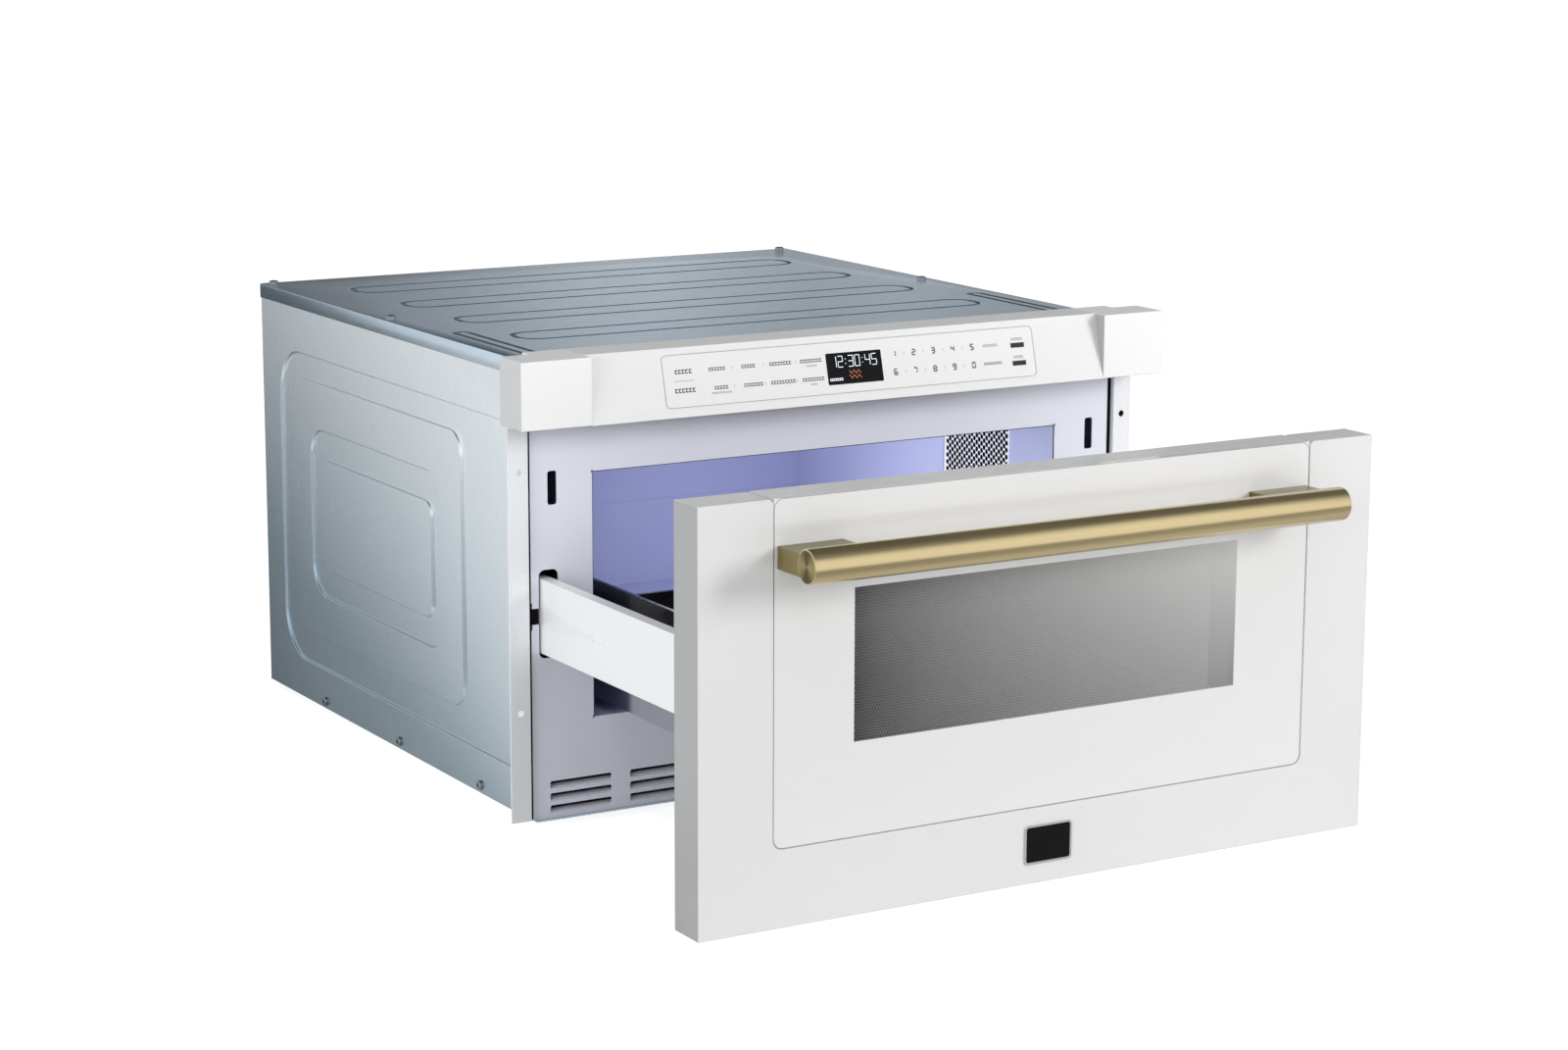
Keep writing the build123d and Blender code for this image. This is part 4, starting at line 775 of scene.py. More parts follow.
# --------------------------------------------------------------------------- meshes
@dataclass
class Workshop:
    """Turns bmesh shapes into finished pieces that ride on their bodies."""

    frame: dict
    finishes: Finishes = field(default_factory=Finishes)

    def dress(self, finish: object, *nodes: str) -> None:
        """Give solids of the frame a finish.

        Args:
            finish: The finish.
            *nodes: Names of the solids.
        """
        for name in nodes:
            node = self.frame["nodes"][name]
            node.data.materials.clear()
            node.data.materials.append(self.finishes.of(finish))
            log.info("dressed %s in %s", name, finish.name)

    def piece(
        self,
        name: str,
        mesh: Mesh,
        finish: object,
        body: str,
        slot: str,
        replaces: Iterable[str] = (),
        smooth: bool = True,
        recalculate: bool = True,
    ) -> bpy.types.Object:
        """Finish a mesh as a named piece.

        Args:
            name: The piece's name.
            mesh: Its shape, which is freed.
            finish: Its finish.
            body: The body it rides on.
            slot: The material slot meant for it; not used.
            replaces: Solids that it stands for.
            smooth: Whether its rounded faces are shaded smooth.
            recalculate: Whether its normals are made to point outwards.

        Returns:
            The object.
        """
        if recalculate:
            bmesh.ops.recalc_face_normals(mesh, faces=mesh.faces)
        for face in mesh.faces:
            face.smooth = smooth
        data = bpy.data.meshes.new(name)
        mesh.to_mesh(data)
        mesh.free()
        if smooth:
            data.set_sharp_from_angle(angle=SHARP_ANGLE)
        data.materials.append(self.finishes.of(finish))
        made = linked(name, data)
        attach(made, body)
        if replaces:
            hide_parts(*replaces)
        log.info("built %s: %d faces on %s", name, len(data.polygons), body)
        return made

    def softened(
        self,
        node: str,
        finish: object,
        body: str,
        slot: str,
        radius: float,
        segments: int = 3,
        side_finish: object = None,
    ) -> bpy.types.Object:
        """A copy of a solid whose sharp edges are rounded, in its place.

        Args:
            node: The solid.
            finish: The finish.
            body: The body it rides on.
            slot: The material slot.
            radius: The rounding's radius.
            segments: Faces across a rounded edge.
            side_finish: A finish for the outermost faces that look left and right; the callers give darker
                copies, painted shade.

        Returns:
            The object.
        """
        mesh = merged_copy(self.frame["nodes"][node])
        if side_finish is not None:
            low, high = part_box(node)
            for face in mesh.faces:
                x = face.calc_center_median().x
                outermost = min(x - low.x, high.x - x) < SLACK
                face.material_index = int(outermost and abs(face.normal.x) > ALONG)
        made = self.piece(f"{node}_dressed", mesh, finish, body, slot, [node], recalculate=False)
        if side_finish is not None:
            made.data.materials.append(self.finishes.of(side_finish))
        edge = made.modifiers.new("rounded edges", "BEVEL")
        edge.width = radius
        edge.segments = segments
        edge.limit_method = "ANGLE"
        edge.angle_limit = SHARP_ANGLE
        edge.harden_normals = True
        edge.use_clamp_overlap = True
        edge.miter_outer = "MITER_ARC"
        return made


def linked(name: str, data: bpy.types.ID) -> bpy.types.Object:
    """A new object of some data, linked to the scene."""
    made = bpy.data.objects.new(name, data)
    bpy.context.scene.collection.objects.link(made)
    return made


def merged_copy(node: bpy.types.Object) -> Mesh:
    """A solid's mesh with its triangles joined and its flat faces made whole.

    Args:
        node: The solid's object.

    Returns:
        The new mesh.
    """
    mesh = bmesh.new()
    mesh.from_mesh(node.data)
    bmesh.ops.remove_doubles(mesh, verts=mesh.verts, dist=MERGE)
    bmesh.ops.dissolve_limit(
        mesh, angle_limit=FLAT_ANGLE, use_dissolve_boundaries=False, verts=mesh.verts, edges=mesh.edges
    )
    return mesh


def repeated(cell: Mesh, count: int, step: Vector) -> bpy.types.Mesh:
    """A row of copies of a small mesh.

    Args:
        cell: The small mesh, which is freed.
        count: How many copies the row holds.
        step: The way from one copy to the next.

    Returns:
        The row's mesh data, to be removed after use.
    """
    stamp = bpy.data.meshes.new("cell")
    cell.to_mesh(stamp)
    cell.free()
    row = bmesh.new()
    for place in range(count):
        add_copy(row, stamp, step * place)
    row.to_mesh(stamp)
    row.free()
    return stamp


def add_copy(mesh: Mesh, stamp: bpy.types.Mesh, way: Vector) -> None:
    """Add a moved copy of stored mesh data to a mesh.

    Args:
        mesh: The mesh.
        stamp: The stored data.
        way: How far the copy is moved.
    """
    start = len(mesh.verts)
    mesh.from_mesh(stamp)
    mesh.verts.ensure_lookup_table()
    bmesh.ops.translate(mesh, verts=mesh.verts[start:], vec=way)


def box_mesh(*boxes: tuple[Sequence[float], Sequence[float]]) -> Mesh:
    """A mesh of boxes, each between its lowest and its highest corner."""
    mesh = bmesh.new()
    for low, high in boxes:
        add_box(mesh, low, high)
    return mesh


def add_box(mesh: Mesh, low: Sequence[float], high: Sequence[float]) -> None:
    """Add a box between two corners to a mesh.

    Args:
        mesh: The mesh.
        low: The lowest corner.
        high: The highest corner.
    """
    low, high = Vector(low), Vector(high)
    matrix = Matrix.Translation((low + high) / 2) @ Matrix.Diagonal((*(high - low), 1))
    bmesh.ops.create_cube(mesh, size=1.0, matrix=matrix)


def turn_mesh(mesh: Mesh, angle: float, axis: Axis) -> None:
    """Turn a mesh about an axis through the origin."""
    matrix = Matrix.Rotation(angle, 3, axis.name)
    bmesh.ops.rotate(mesh, verts=mesh.verts, cent=(0, 0, 0), matrix=matrix)


def cut_mesh(mesh: Mesh, place: Sequence[float], normal: Sequence[float], drop_outer: bool = False) -> None:
    """Cut a mesh along a plane.

    Args:
        mesh: The mesh.
        place: A point of the plane.
        normal: The plane's normal.
        drop_outer: Whether what lies on the normal's side goes.
    """
    bmesh.ops.bisect_plane(
        mesh,
        geom=[*mesh.verts, *mesh.edges, *mesh.faces],
        dist=CUT_SLACK,
        plane_co=place,
        plane_no=normal,
        clear_outer=drop_outer,
    )


def round_edges(mesh: Mesh, edges: Iterable[bmesh.types.BMEdge], radius: float, segments: int = 3) -> None:
    """Round edges of a mesh.

    Args:
        mesh: The mesh.
        edges: The edges.
        radius: The radius.
        segments: Faces across each edge.
    """
    bmesh.ops.bevel(
        mesh,
        geom=list(edges),
        offset=radius,
        offset_type="OFFSET",
        segments=segments,
        profile=0.5,
        affect="EDGES",
        clamp_overlap=True,
        material=-1,
    )


def sharp_edges(mesh: Mesh, angle: float = SHARP_ANGLE) -> Edges:
    """The edges at which two faces meet at more than an angle."""
    return [e for e in mesh.edges if len(e.link_faces) == 2 and e.calc_face_angle(0.0) > angle]


def along(mesh: Mesh, axis: Axis) -> Edges:
    """The edges that run along an axis."""
    return [e for e in mesh.edges if abs((e.verts[1].co - e.verts[0].co).normalized()[axis.value]) > ALONG]


@dataclass(frozen=True)
class Outline:
    """A rounded rectangle in a sheet's own two coordinates."""

    first: Span
    second: Span
    corner: float
    corner_faces: int = 10

    def loop(self, mesh: Mesh, inset: float, level: float) -> Edges:
        """Add the outline to a mesh as a closed loop of edges.

        Args:
            mesh: The mesh.
            inset: How far inside the outline the loop runs, or outside it below zero.
            level: The loop's height.

        Returns:
            The loop's edges.
        """
        spans = [(low + inset, high - inset) for low, high in (self.first, self.second)]
        middle = [(low + high) / 2 for low, high in spans]
        half = [(high - low) / 2 for low, high in spans]
        place = Matrix.Translation((*middle, level)) @ Matrix.Diagonal((*half, 1, 1))
        before = set(mesh.faces)
        corners = bmesh.ops.create_grid(mesh, x_segments=1, y_segments=1, size=1.0, matrix=place)["verts"]
        bmesh.ops.bevel(
            mesh,
            geom=corners,
            offset=max(self.corner - inset, LEAST_CORNER),
            offset_type="OFFSET",
            segments=self.corner_faces,
            profile=0.5,
            affect="VERTICES",
            material=-1,
        )
        face = next(f for f in mesh.faces if f not in before)
        edges = face.edges[:]
        bmesh.ops.delete(mesh, geom=[face], context="FACES_ONLY")
        return edges


def wall_loops(mesh: Mesh, outline: Outline, insets: Span, levels: Span, steps: int = 4) -> list[Edges]:
    """Add the loops of a soft wall between two flat levels, from its outer side inwards.

    Args:
        mesh: The mesh.
        outline: The wall's outline.
        insets: Where the wall starts and ends, inside the outline.
        levels: The heights outside and inside the wall.
        steps: Faces across the wall.

    Returns:
        The loops, with one more on each flat side that keeps its shading flat.
    """
    loops = [outline.loop(mesh, insets[0] - FLAT_BORDER, levels[0])]
    for step in range(steps + 1):
        share = step / steps
        soft = share * share * (3 - 2 * share)
        inset = insets[0] + share * (insets[1] - insets[0])
        loops.append(outline.loop(mesh, inset, levels[0] + soft * (levels[1] - levels[0])))
    loops.append(outline.loop(mesh, insets[1] + FLAT_BORDER, levels[1]))
    return loops


def bridge(mesh: Mesh, loops: list[Edges]) -> None:
    """Join each loop to the next.

    The inner loop is held well below the outer one meanwhile, so that both are read the same way round.

    Args:
        mesh: The mesh.
        loops: The loops, from the outermost inwards.
    """
    for outer, inner in zip(loops, loops[1:]):
        verts = list({vertex for edge in inner for vertex in edge.verts})
        bmesh.ops.translate(mesh, verts=verts, vec=(0, 0, -BRIDGE_DROP))
        bmesh.ops.bridge_loops(mesh, edges=outer + inner)
        bmesh.ops.translate(mesh, verts=verts, vec=(0, 0, BRIDGE_DROP))


def face_up(mesh: Mesh) -> None:
    """Turn every face of a flat sheet with pressings upwards."""
    mesh.normal_update()
    bmesh.ops.reverse_faces(mesh, faces=[f for f in mesh.faces if f.normal.z < 0])


def sharp_rims(made: bpy.types.Object) -> None:
    """Mark an open sheet's rims as sharp, so that its faces stay flat beside them.

    Args:
        made: The sheet.
    """
    mesh = bmesh.new()
    mesh.from_mesh(made.data)
    for edge in mesh.edges:
        if edge.is_boundary:
            edge.smooth = False
    mesh.to_mesh(made.data)
    mesh.free()


def add_solidify(made: bpy.types.Object, thickness: float) -> None:
    """Give an open sheet its thickness, on the side that its faces look away from.

    Args:
        made: The sheet.
        thickness: The thickness.
    """
    sharp_rims(made)
    shell = made.modifiers.new("sheet", "SOLIDIFY")
    shell.thickness = thickness
    shell.offset = -1.0
    shell.use_even_offset = True


# --------------------------------------------------------------------------- casing
@dataclass
class Casing:
    """The galvanised shell: base, sides with pressed bands, top with pressed pads, back, screws."""

    shop: Workshop
    sheet: float = 1.0 * MM
    depth: float = 2.0 * MM
    slope: float = 1.6 * MM
    groove_width: float = 5.0 * MM
    groove_depth: float = 1.6 * MM
    fold: float = 1.2 * MM
    screw_radius: float = 0.8 * MM
    band_rear: float = 39.6 * MM
    band_low: float = 35.0 * MM
    band_top: float = 50.9 * MM
    band_corner: float = 44.0 * MM
    field_front: float = 131.0 * MM
    field_insets: tuple[float, float, float] = (28.0 * MM, 29.5 * MM, 23.5 * MM)
    ring_insets: tuple[float, float, float, float] = (37.0 * MM, 39.0 * MM, 38.5 * MM, 40.0 * MM)
    island_insets: tuple[float, float, float, float] = (22.4 * MM, 27.0 * MM, 26.0 * MM, 27.5 * MM)
    field_corner: float = 20.0 * MM
    ring_corner: float = 28.0 * MM
    island_corner: float = 12.0 * MM
    wall_steps: int = 3
    pad_margin: float = 50.5 * MM
    pad_front: float = 111.0 * MM
    pad_depth: float = 45.5 * MM
    pad_pitch: float = 109.0 * MM
    pad_count: int = 4
    pad_corner: float = 20.0 * MM
    edge_pad: tuple[float, float, float, float] = (15.5 * MM, 16.5 * MM, 24.0 * MM, 158.0 * MM)
    edge_pad_roundness: float = 2.4

    def build(self) -> None:
        """Build every piece of the casing."""
        self.shop.dress(INNER_SHEET, "base_plate", "back_panel")
        self.shop.softened("case_screws", SCREW_ZINC, "case", "screw_steel", self.screw_radius)
        self.shop.dress(BLACK_PLASTIC, "cord_gland")
        for side in Side:
            self.side(side)
        self.top()

    def outlines(self, y: Span, z: Span) -> tuple[Outline, Outline, Outline, Outline]:
        """The side pressings' outlines: the band, the field in it, the ring and its island.

        Args:
            y: The panel's span along Y.
            z: The panel's span along Z.

        Returns:
            The four outlines.
        """
        front, rear = y[0] - 2 * self.band_corner, y[1] - self.band_rear
        low, high = z[0] + self.band_low, z[1] - self.band_top
        band = Outline((front, rear), (low, high), self.band_corner)
        rear_in, low_in, top_in = self.field_insets
        field_y, field_z = (self.field_front, rear - rear_in), (low + low_in, high - top_in)
        plain = Outline(field_y, field_z, self.field_corner)
        ring = self._inside(plain, self.ring_insets, self.ring_corner)
        return band, plain, ring, self._inside(ring, self.island_insets, self.island_corner)

    def _inside(self, outer: Outline, insets: Sequence[float], corner: float) -> Outline:
        """An outline inside another.

        Args:
            outer: The other outline.
            insets: How far inside it lies at the front, rear, bottom and top.
            corner: Its corners' radius.

        Returns:
            The outline.
        """
        front, rear, low, top = insets
        (y0, y1), (z0, z1) = outer.first, outer.second
        return Outline((y0 + front, y1 - rear), (z0 + low, z1 - top), corner)

    def side(self, side: Side) -> None:
        """Build a side panel.

        Args:
            side: Its side.
        """
        node = side.named("side_panel")
        low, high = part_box(node)
        y, z = (low.y, high.y), (low.z, high.z)
        band, plain, ring, island = self.outlines(y, z)
        sheet = Outline((band.first[0] - self.band_corner, y[1]), z, LEAST_CORNER)
        mesh = bmesh.new()
        loops = [sheet.loop(mesh, 0, 0)]
        for sunk, raised in ((band, plain), (ring, island)):
            loops += wall_loops(mesh, sunk, (0, self.slope), (0, -self.depth))
            loops += wall_loops(mesh, raised, (-self.slope, 0), (-self.depth, 0))
        bridge(mesh, loops)
        bmesh.ops.contextual_create(mesh, geom=loops[-1])
        cut_mesh(mesh, (y[0], 0, 0), (-1, 0, 0), drop_outer=True)
        face_up(mesh)
        face = high.x if side is Side.RIGHT else low.x
        for vertex in mesh.verts:
            back, up, press = vertex.co
            vertex.co = Vector((face + side.value * press, back, up))
        if side is Side.LEFT:
            bmesh.ops.reverse_faces(mesh, faces=mesh.faces)
        made = self.shop.piece(
            f"{node}_sheet", mesh, CASING_SHEET, "case", "galvanised", [node], recalculate=False
        )
        add_solidify(made, self.sheet)

    def top(self) -> None:
        """Build the top cover, with its pads and its down-turned lips."""
        low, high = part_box("top_cover")
        mesh = self._padded_sheet(low, high)
        for axis, level, sign in ((Axis.X, low.x, -1), (Axis.X, high.x, 1), (Axis.Y, high.y, 1)):
            border = [
                edge
                for edge in mesh.edges
                if edge.is_boundary
                and all(v.co.z > high.z - MM for v in edge.verts)
                and all(sign * (v.co[axis.value] - level) > -SLACK for v in edge.verts)
            ]
            lip = bmesh.ops.extrude_edge_only(mesh, edges=border)["geom"]
            hem = [g for g in lip if isinstance(g, bmesh.types.BMVert)]
            bmesh.ops.translate(mesh, verts=hem, vec=(0, 0, low.z - high.z))
        bmesh.ops.remove_doubles(mesh, verts=mesh.verts, dist=FOLD_MERGE)
        round_edges(mesh, sharp_edges(mesh, FOLD_ANGLE), self.fold)
        mesh.normal_update()
        # Painted shade: the lips that look left and right take the darker copy of the sheet.
        for face in mesh.faces:
            face.material_index = int(abs(face.normal.x) > LIP_FACING)
        made = self.shop.piece("top_cover_sheet", mesh, TOP_SHEET, "case", "galvanised", ["top_cover"])
        made.data.materials.append(self.shop.finishes.of(LIP_SHEET_PAINTED_SHADE))
        add_solidify(made, self.sheet)

    def _pads(self, edge: float) -> list[Outline]:
        """The outlines of the cover's broad pads and of its two narrow ones.

        Args:
            edge: The cover's half width.

        Returns:
            The outlines.
        """
        half = edge - self.sheet - self.pad_margin
        starts = [self.pad_front + step * self.pad_pitch for step in range(self.pad_count)]
        pads = [Outline((-half, half), (start, start + self.pad_depth), self.pad_corner) for start in starts]
        margin, width, front, length = self.edge_pad
        outer = edge - self.sheet - margin
        for side in Side:
            across = side.across(outer - width, outer)
            pads.append(Outline(across, (front, front + length), width / self.edge_pad_roundness))
        return pads

    def _padded_sheet(self, low: Vector, high: Vector) -> Mesh:
        """The cover's flat sheet, with a groove round each pad.

        Args:
            low: The cover's lowest corner.
            high: Its highest corner.

        Returns:
            The open mesh, at its height.
        """
        mesh = bmesh.new()
        middle, half = (low + high) / 2, (high - low) / 2
        place = Matrix.Translation((middle.x, middle.y, 0)) @ Matrix.Diagonal((half.x, half.y, 1, 1))
        bmesh.ops.create_grid(mesh, x_segments=1, y_segments=1, size=1.0, matrix=place)
        bmesh.ops.delete(mesh, geom=mesh.faces[:], context="FACES_ONLY")
        rims = mesh.edges[:]
        width, depth = self.groove_width, self.groove_depth
        for pad in self._pads(high.x):
            down = wall_loops(mesh, pad, (0, width / 2), (0, -depth), self.wall_steps)
            back_up = wall_loops(mesh, pad, (width / 2, width), (-depth, 0), self.wall_steps)
            # The groove's bottom line is in both walls, and stands there once.
            loops = down[:-1] + back_up[2:]
            rims = rims + loops[0]
            bridge(mesh, loops)
            bmesh.ops.contextual_create(mesh, geom=loops[-1])
        bmesh.ops.triangle_fill(mesh, edges=rims, use_beauty=True)
        loose = [v for v in mesh.verts if not v.link_faces]
        bmesh.ops.delete(mesh, geom=loose, context="VERTS")
        face_up(mesh)
        bmesh.ops.translate(mesh, verts=mesh.verts, vec=(0, 0, high.z))
        return mesh


# --------------------------------------------------------------------------- front plate and oven
@dataclass
class FrontAndOven:
    """The enamelled front plate, its flanges, and the oven behind it."""

    shop: Workshop
    plate_radius: float = 0.3 * MM
    wall: float = 1.0 * MM
    bead_height: float = 1.4 * MM
    bead_proud: float = 0.5 * MM
    bead_radius: float = 0.45 * MM
    bead_level: float = 158.0 * MM
    seal: float = 0.8 * MM
    seal_setback: float = 0.2 * MM
    mouth_line: float = 0.6 * MM
    notch_shade: tuple[float, float, float, float] = (269.8 * MM, 275.4 * MM, 156.0 * MM, 178.0 * MM)
    notch_setback: float = 1.1 * MM
    seam_width: float = 3.5 * MM
    plate_return: float = 0.9 * MM
    hole_shade_radius: float = 4.5 * MM
    hole_shade_sides: int = 24
    hole_shade_places: tuple[float, float] = (91.0 * MM, 284.3 * MM)
    hole_shade_inset: float = 9.1 * MM
    louvre_starts: tuple[float, ...] = (206.0 * MM, 134.0 * MM, 62.0 * MM)
    louvre_length: float = 55.0 * MM
    louvre_tops: tuple[float, ...] = (11.0 * MM, 21.0 * MM, 31.0 * MM)
    louvre_shade: tuple[float, float, float] = (-1.9 * MM, -0.1 * MM, 0.3 * MM)
    grille_gap: float = 0.1 * MM
    grille_holes: tuple[int, int] = (12, 11)
    grille_pitch: tuple[float, float] = (7.8 * MM, 6.2 * MM)
    grille_shade_radius: float = 2.3 * MM
    grille_sides: int = 12
    grille_proud: float = 0.04 * MM

    def build(self) -> None:
        """Build the plate, the flanges and the oven."""
        self.shop.softened("front_plate", FRONT_ENAMEL, "case", "white_enamel", self.plate_radius, 2)
        for side in Side:
            flange = side.named("mounting_flange")
            self.shop.softened(flange, FLANGE_ENAMEL, "case", "white_enamel", self.plate_radius, 2)
        self.shop.dress(OVEN_ENAMEL, "oven_cavity")
        self.shop.dress(GRILLE_ENAMEL, "lamp_grille")
        self.shop.dress(WHITE_PLASTIC, "stirrer_cover")
        self.bead()
        self.seals()
        self.mouth()
        self.clip_nuts()
        self.louvre_lining()
        self.grille_lining()

    def seals(self) -> None:
        """Build dark strips of painted shade in the plate's side seams and behind its notches, and the
        plate's folds.
        """
        low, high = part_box("front_plate")
        seam_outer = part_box("side_panel_right")[1].x + self.seam_width
        fold_outer = high.x + self.plate_return
        near, back = low.y + self.seal_setback, low.y + self.notch_setback
        inner, outer, bottom, top = self.notch_shade
        for side in Side:
            flange_low, flange_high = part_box(side.named("mounting_flange"))
            x0, x1 = side.across(fold_outer, seam_outer)
            notch0, notch1 = side.across(inner, outer)
            # Painted shade: dark strips in the side seam and behind the notch.
            seals = box_mesh(
                ((x0, near, flange_low.z), (x1, near + self.seal, flange_high.z)),
                ((notch0, back, bottom), (notch1, back + self.seal, top)),
            )
            self.shop.piece(side.named("seam_seal"), seals, SEAL_AND_SHADE, "case", "rubber", smooth=False)
            x0, x1 = side.across(high.x, fold_outer)
            folds = box_mesh(
                ((x0, low.y, low.z), (x1, high.y, bottom)),
                ((x0, low.y, top), (x1, high.y, flange_high.z)),
            )
            name = side.named("plate_fold")
            self.shop.piece(name, folds, FRONT_ENAMEL, "case", "white_enamel", smooth=False)

    def mouth(self) -> None:
        """Build the thin dark seam where the oven's walls and ceiling meet the plate: a dark joint, partly
        painted shade.
        """
        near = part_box("front_plate")[0].y + self.seal_setback
        far = near + self.seal
        low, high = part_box("oven_cavity")
        x0, x1, z0, z1 = low.x + self.wall, high.x - self.wall, low.z + self.wall, high.z - self.wall
        line = self.mouth_line
        mesh = box_mesh(
            ((x0, near, z0), (x0 + line, far, z1)),
            ((x1 - line, near, z0), (x1, far, z1)),
            ((x0, near, z1 - line), (x1, far, z1)),
        )
        self.shop.piece("mouth_seam", mesh, SEAL_AND_SHADE, "case", "rubber", smooth=False)

    def clip_nuts(self) -> None:
        """Build dark discs behind the right flange's holes: painted shade seen through them."""
        _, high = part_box("mounting_flange_right")
        turn = Matrix.Rotation(QUARTER, 4, "X")
        mesh = bmesh.new()
        for level in self.hole_shade_places:
            bmesh.ops.create_cone(
                mesh,
                cap_ends=True,
                segments=self.hole_shade_sides,
                radius1=self.hole_shade_radius,
                radius2=self.hole_shade_radius,
                depth=self.seal,
                matrix=Matrix.Translation((high.x - self.hole_shade_inset, self.seal, level)) @ turn,
            )
        self.shop.piece("clip_nuts", mesh, SEAL_AND_SHADE, "case", "rubber")

    def louvre_lining(self) -> None:
        """Build dark strips behind the openings of the louvres: painted shade in the slots."""
        bottom, rise, back = self.louvre_shade
        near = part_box("front_plate")[0].y + back
        mesh = bmesh.new()
        for side in Side:
            for start in self.louvre_starts:
                x0, x1 = side.across(start, start + self.louvre_length)
                for top in self.louvre_tops:
                    add_box(mesh, (x0, near, top + bottom), (x1, near + self.seal, top + rise))
        self.shop.piece("louvre_lining", mesh, SEAL_AND_SHADE, "case", "rubber", smooth=False)

    def grille_lining(self) -> None:
        """Build painted shade at the grille: a dark sheet behind it and dark rings round its holes."""
        low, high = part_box("lamp_grille")
        near = high.x + self.grille_gap
        mesh = box_mesh(((near, low.y, low.z), (near + self.seal / 2, high.y, high.z)))
        middle = (low + high) / 2
        turn = Matrix.Rotation(-QUARTER, 4, "Y")
        # The dark rings lie in two grids, and those of the second lie between those of the first.
        for extra in (0, 1):
            columns, rows = (count + extra for count in self.grille_holes)
            for column in range(columns):
                for row in range(rows):
                    y = middle.y + (column - (columns - 1) / 2) * self.grille_pitch[0]
                    z = middle.z + (row - (rows - 1) / 2) * self.grille_pitch[1]
                    bmesh.ops.create_circle(
                        mesh,
                        cap_ends=True,
                        segments=self.grille_sides,
                        radius=self.grille_shade_radius,
                        matrix=Matrix.Translation((low.x - self.grille_proud, y, z)) @ turn,
                    )
        self.shop.piece("grille_lining", mesh, SEAL_AND_SHADE, "case", "rubber", smooth=False, recalculate=False)

    def bead(self) -> None:
        """Build the shallow bead across the back wall of the oven."""
        _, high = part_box("oven_cavity")
        back, half = high.y - self.wall, high.x - self.wall
        rise = self.bead_height / 2
        mesh = box_mesh(
            ((-half, back - self.bead_proud, self.bead_level - rise), (half, back, self.bead_level + rise))
        )
        front = [e for e in along(mesh, Axis.X) if all(v.co.y < back - self.bead_proud / 2 for v in e.verts)]
        round_edges(mesh, front, self.bead_radius)
        self.shop.piece("oven_back_bead", mesh, OVEN_ENAMEL, "case", "oven_enamel")


# --------------------------------------------------------------------------- control panel
SEGMENTS: dict[str, str] = {
    "0": "abcdef",
    "1": "bc",
    "2": "abged",
    "3": "abgcd",
    "4": "fgbc",
    "5": "afgcd",
    "6": "afgedc",
    "7": "abc",
    "8": "abcdefg",
    "9": "abcdfg",
}


class Row(Enum):
    """The panel's two rows of keys, as heights above its middle."""

    UPPER = 7.4 * MM
    LOWER = -7.6 * MM


@dataclass(frozen=True)
class Label:
    """A row of plain strokes in the place of a word. Millimetres."""

    across: float
    row: Row
    length: float
    height: float
    shift: float = 0.0
    pale: bool = False


LABELS = (
    Label(-157.0, Row.UPPER, 16.5, 3.3),
    Label(-157.0, Row.LOWER, 18.0, 3.3),
    Label(-126.5, Row.UPPER, 14.5, 2.7),
    Label(-98.0, Row.UPPER, 12.0, 2.7),
    Label(-68.5, Row.UPPER, 21.0, 2.7),
    Label(-40.0, Row.UPPER, 20.0, 2.7),
    Label(-124.5, Row.LOWER, 13.5, 2.7),
    Label(-95.0, Row.LOWER, 17.0, 2.7),
    Label(-67.5, Row.LOWER, 22.5, 2.7),
    Label(-39.5, Row.LOWER, 20.0, 2.7),
    Label(132.5, Row.UPPER, 15.0, 1.9, pale=True),
    Label(133.5, Row.LOWER, 18.5, 1.9),
    Label(159.5, Row.UPPER, 12.0, 2.0, 3.6, pale=True),
    Label(159.5, Row.LOWER, 9.0, 2.0, 3.6, pale=True),
    Label(-124.5, Row.LOWER, 19.0, 1.3, -4.0, pale=True),
    Label(-40.0, Row.UPPER, 10.0, 1.2, -4.0, pale=True),
    Label(-39.5, Row.LOWER, 6.0, 1.2, -4.0, pale=True),
)


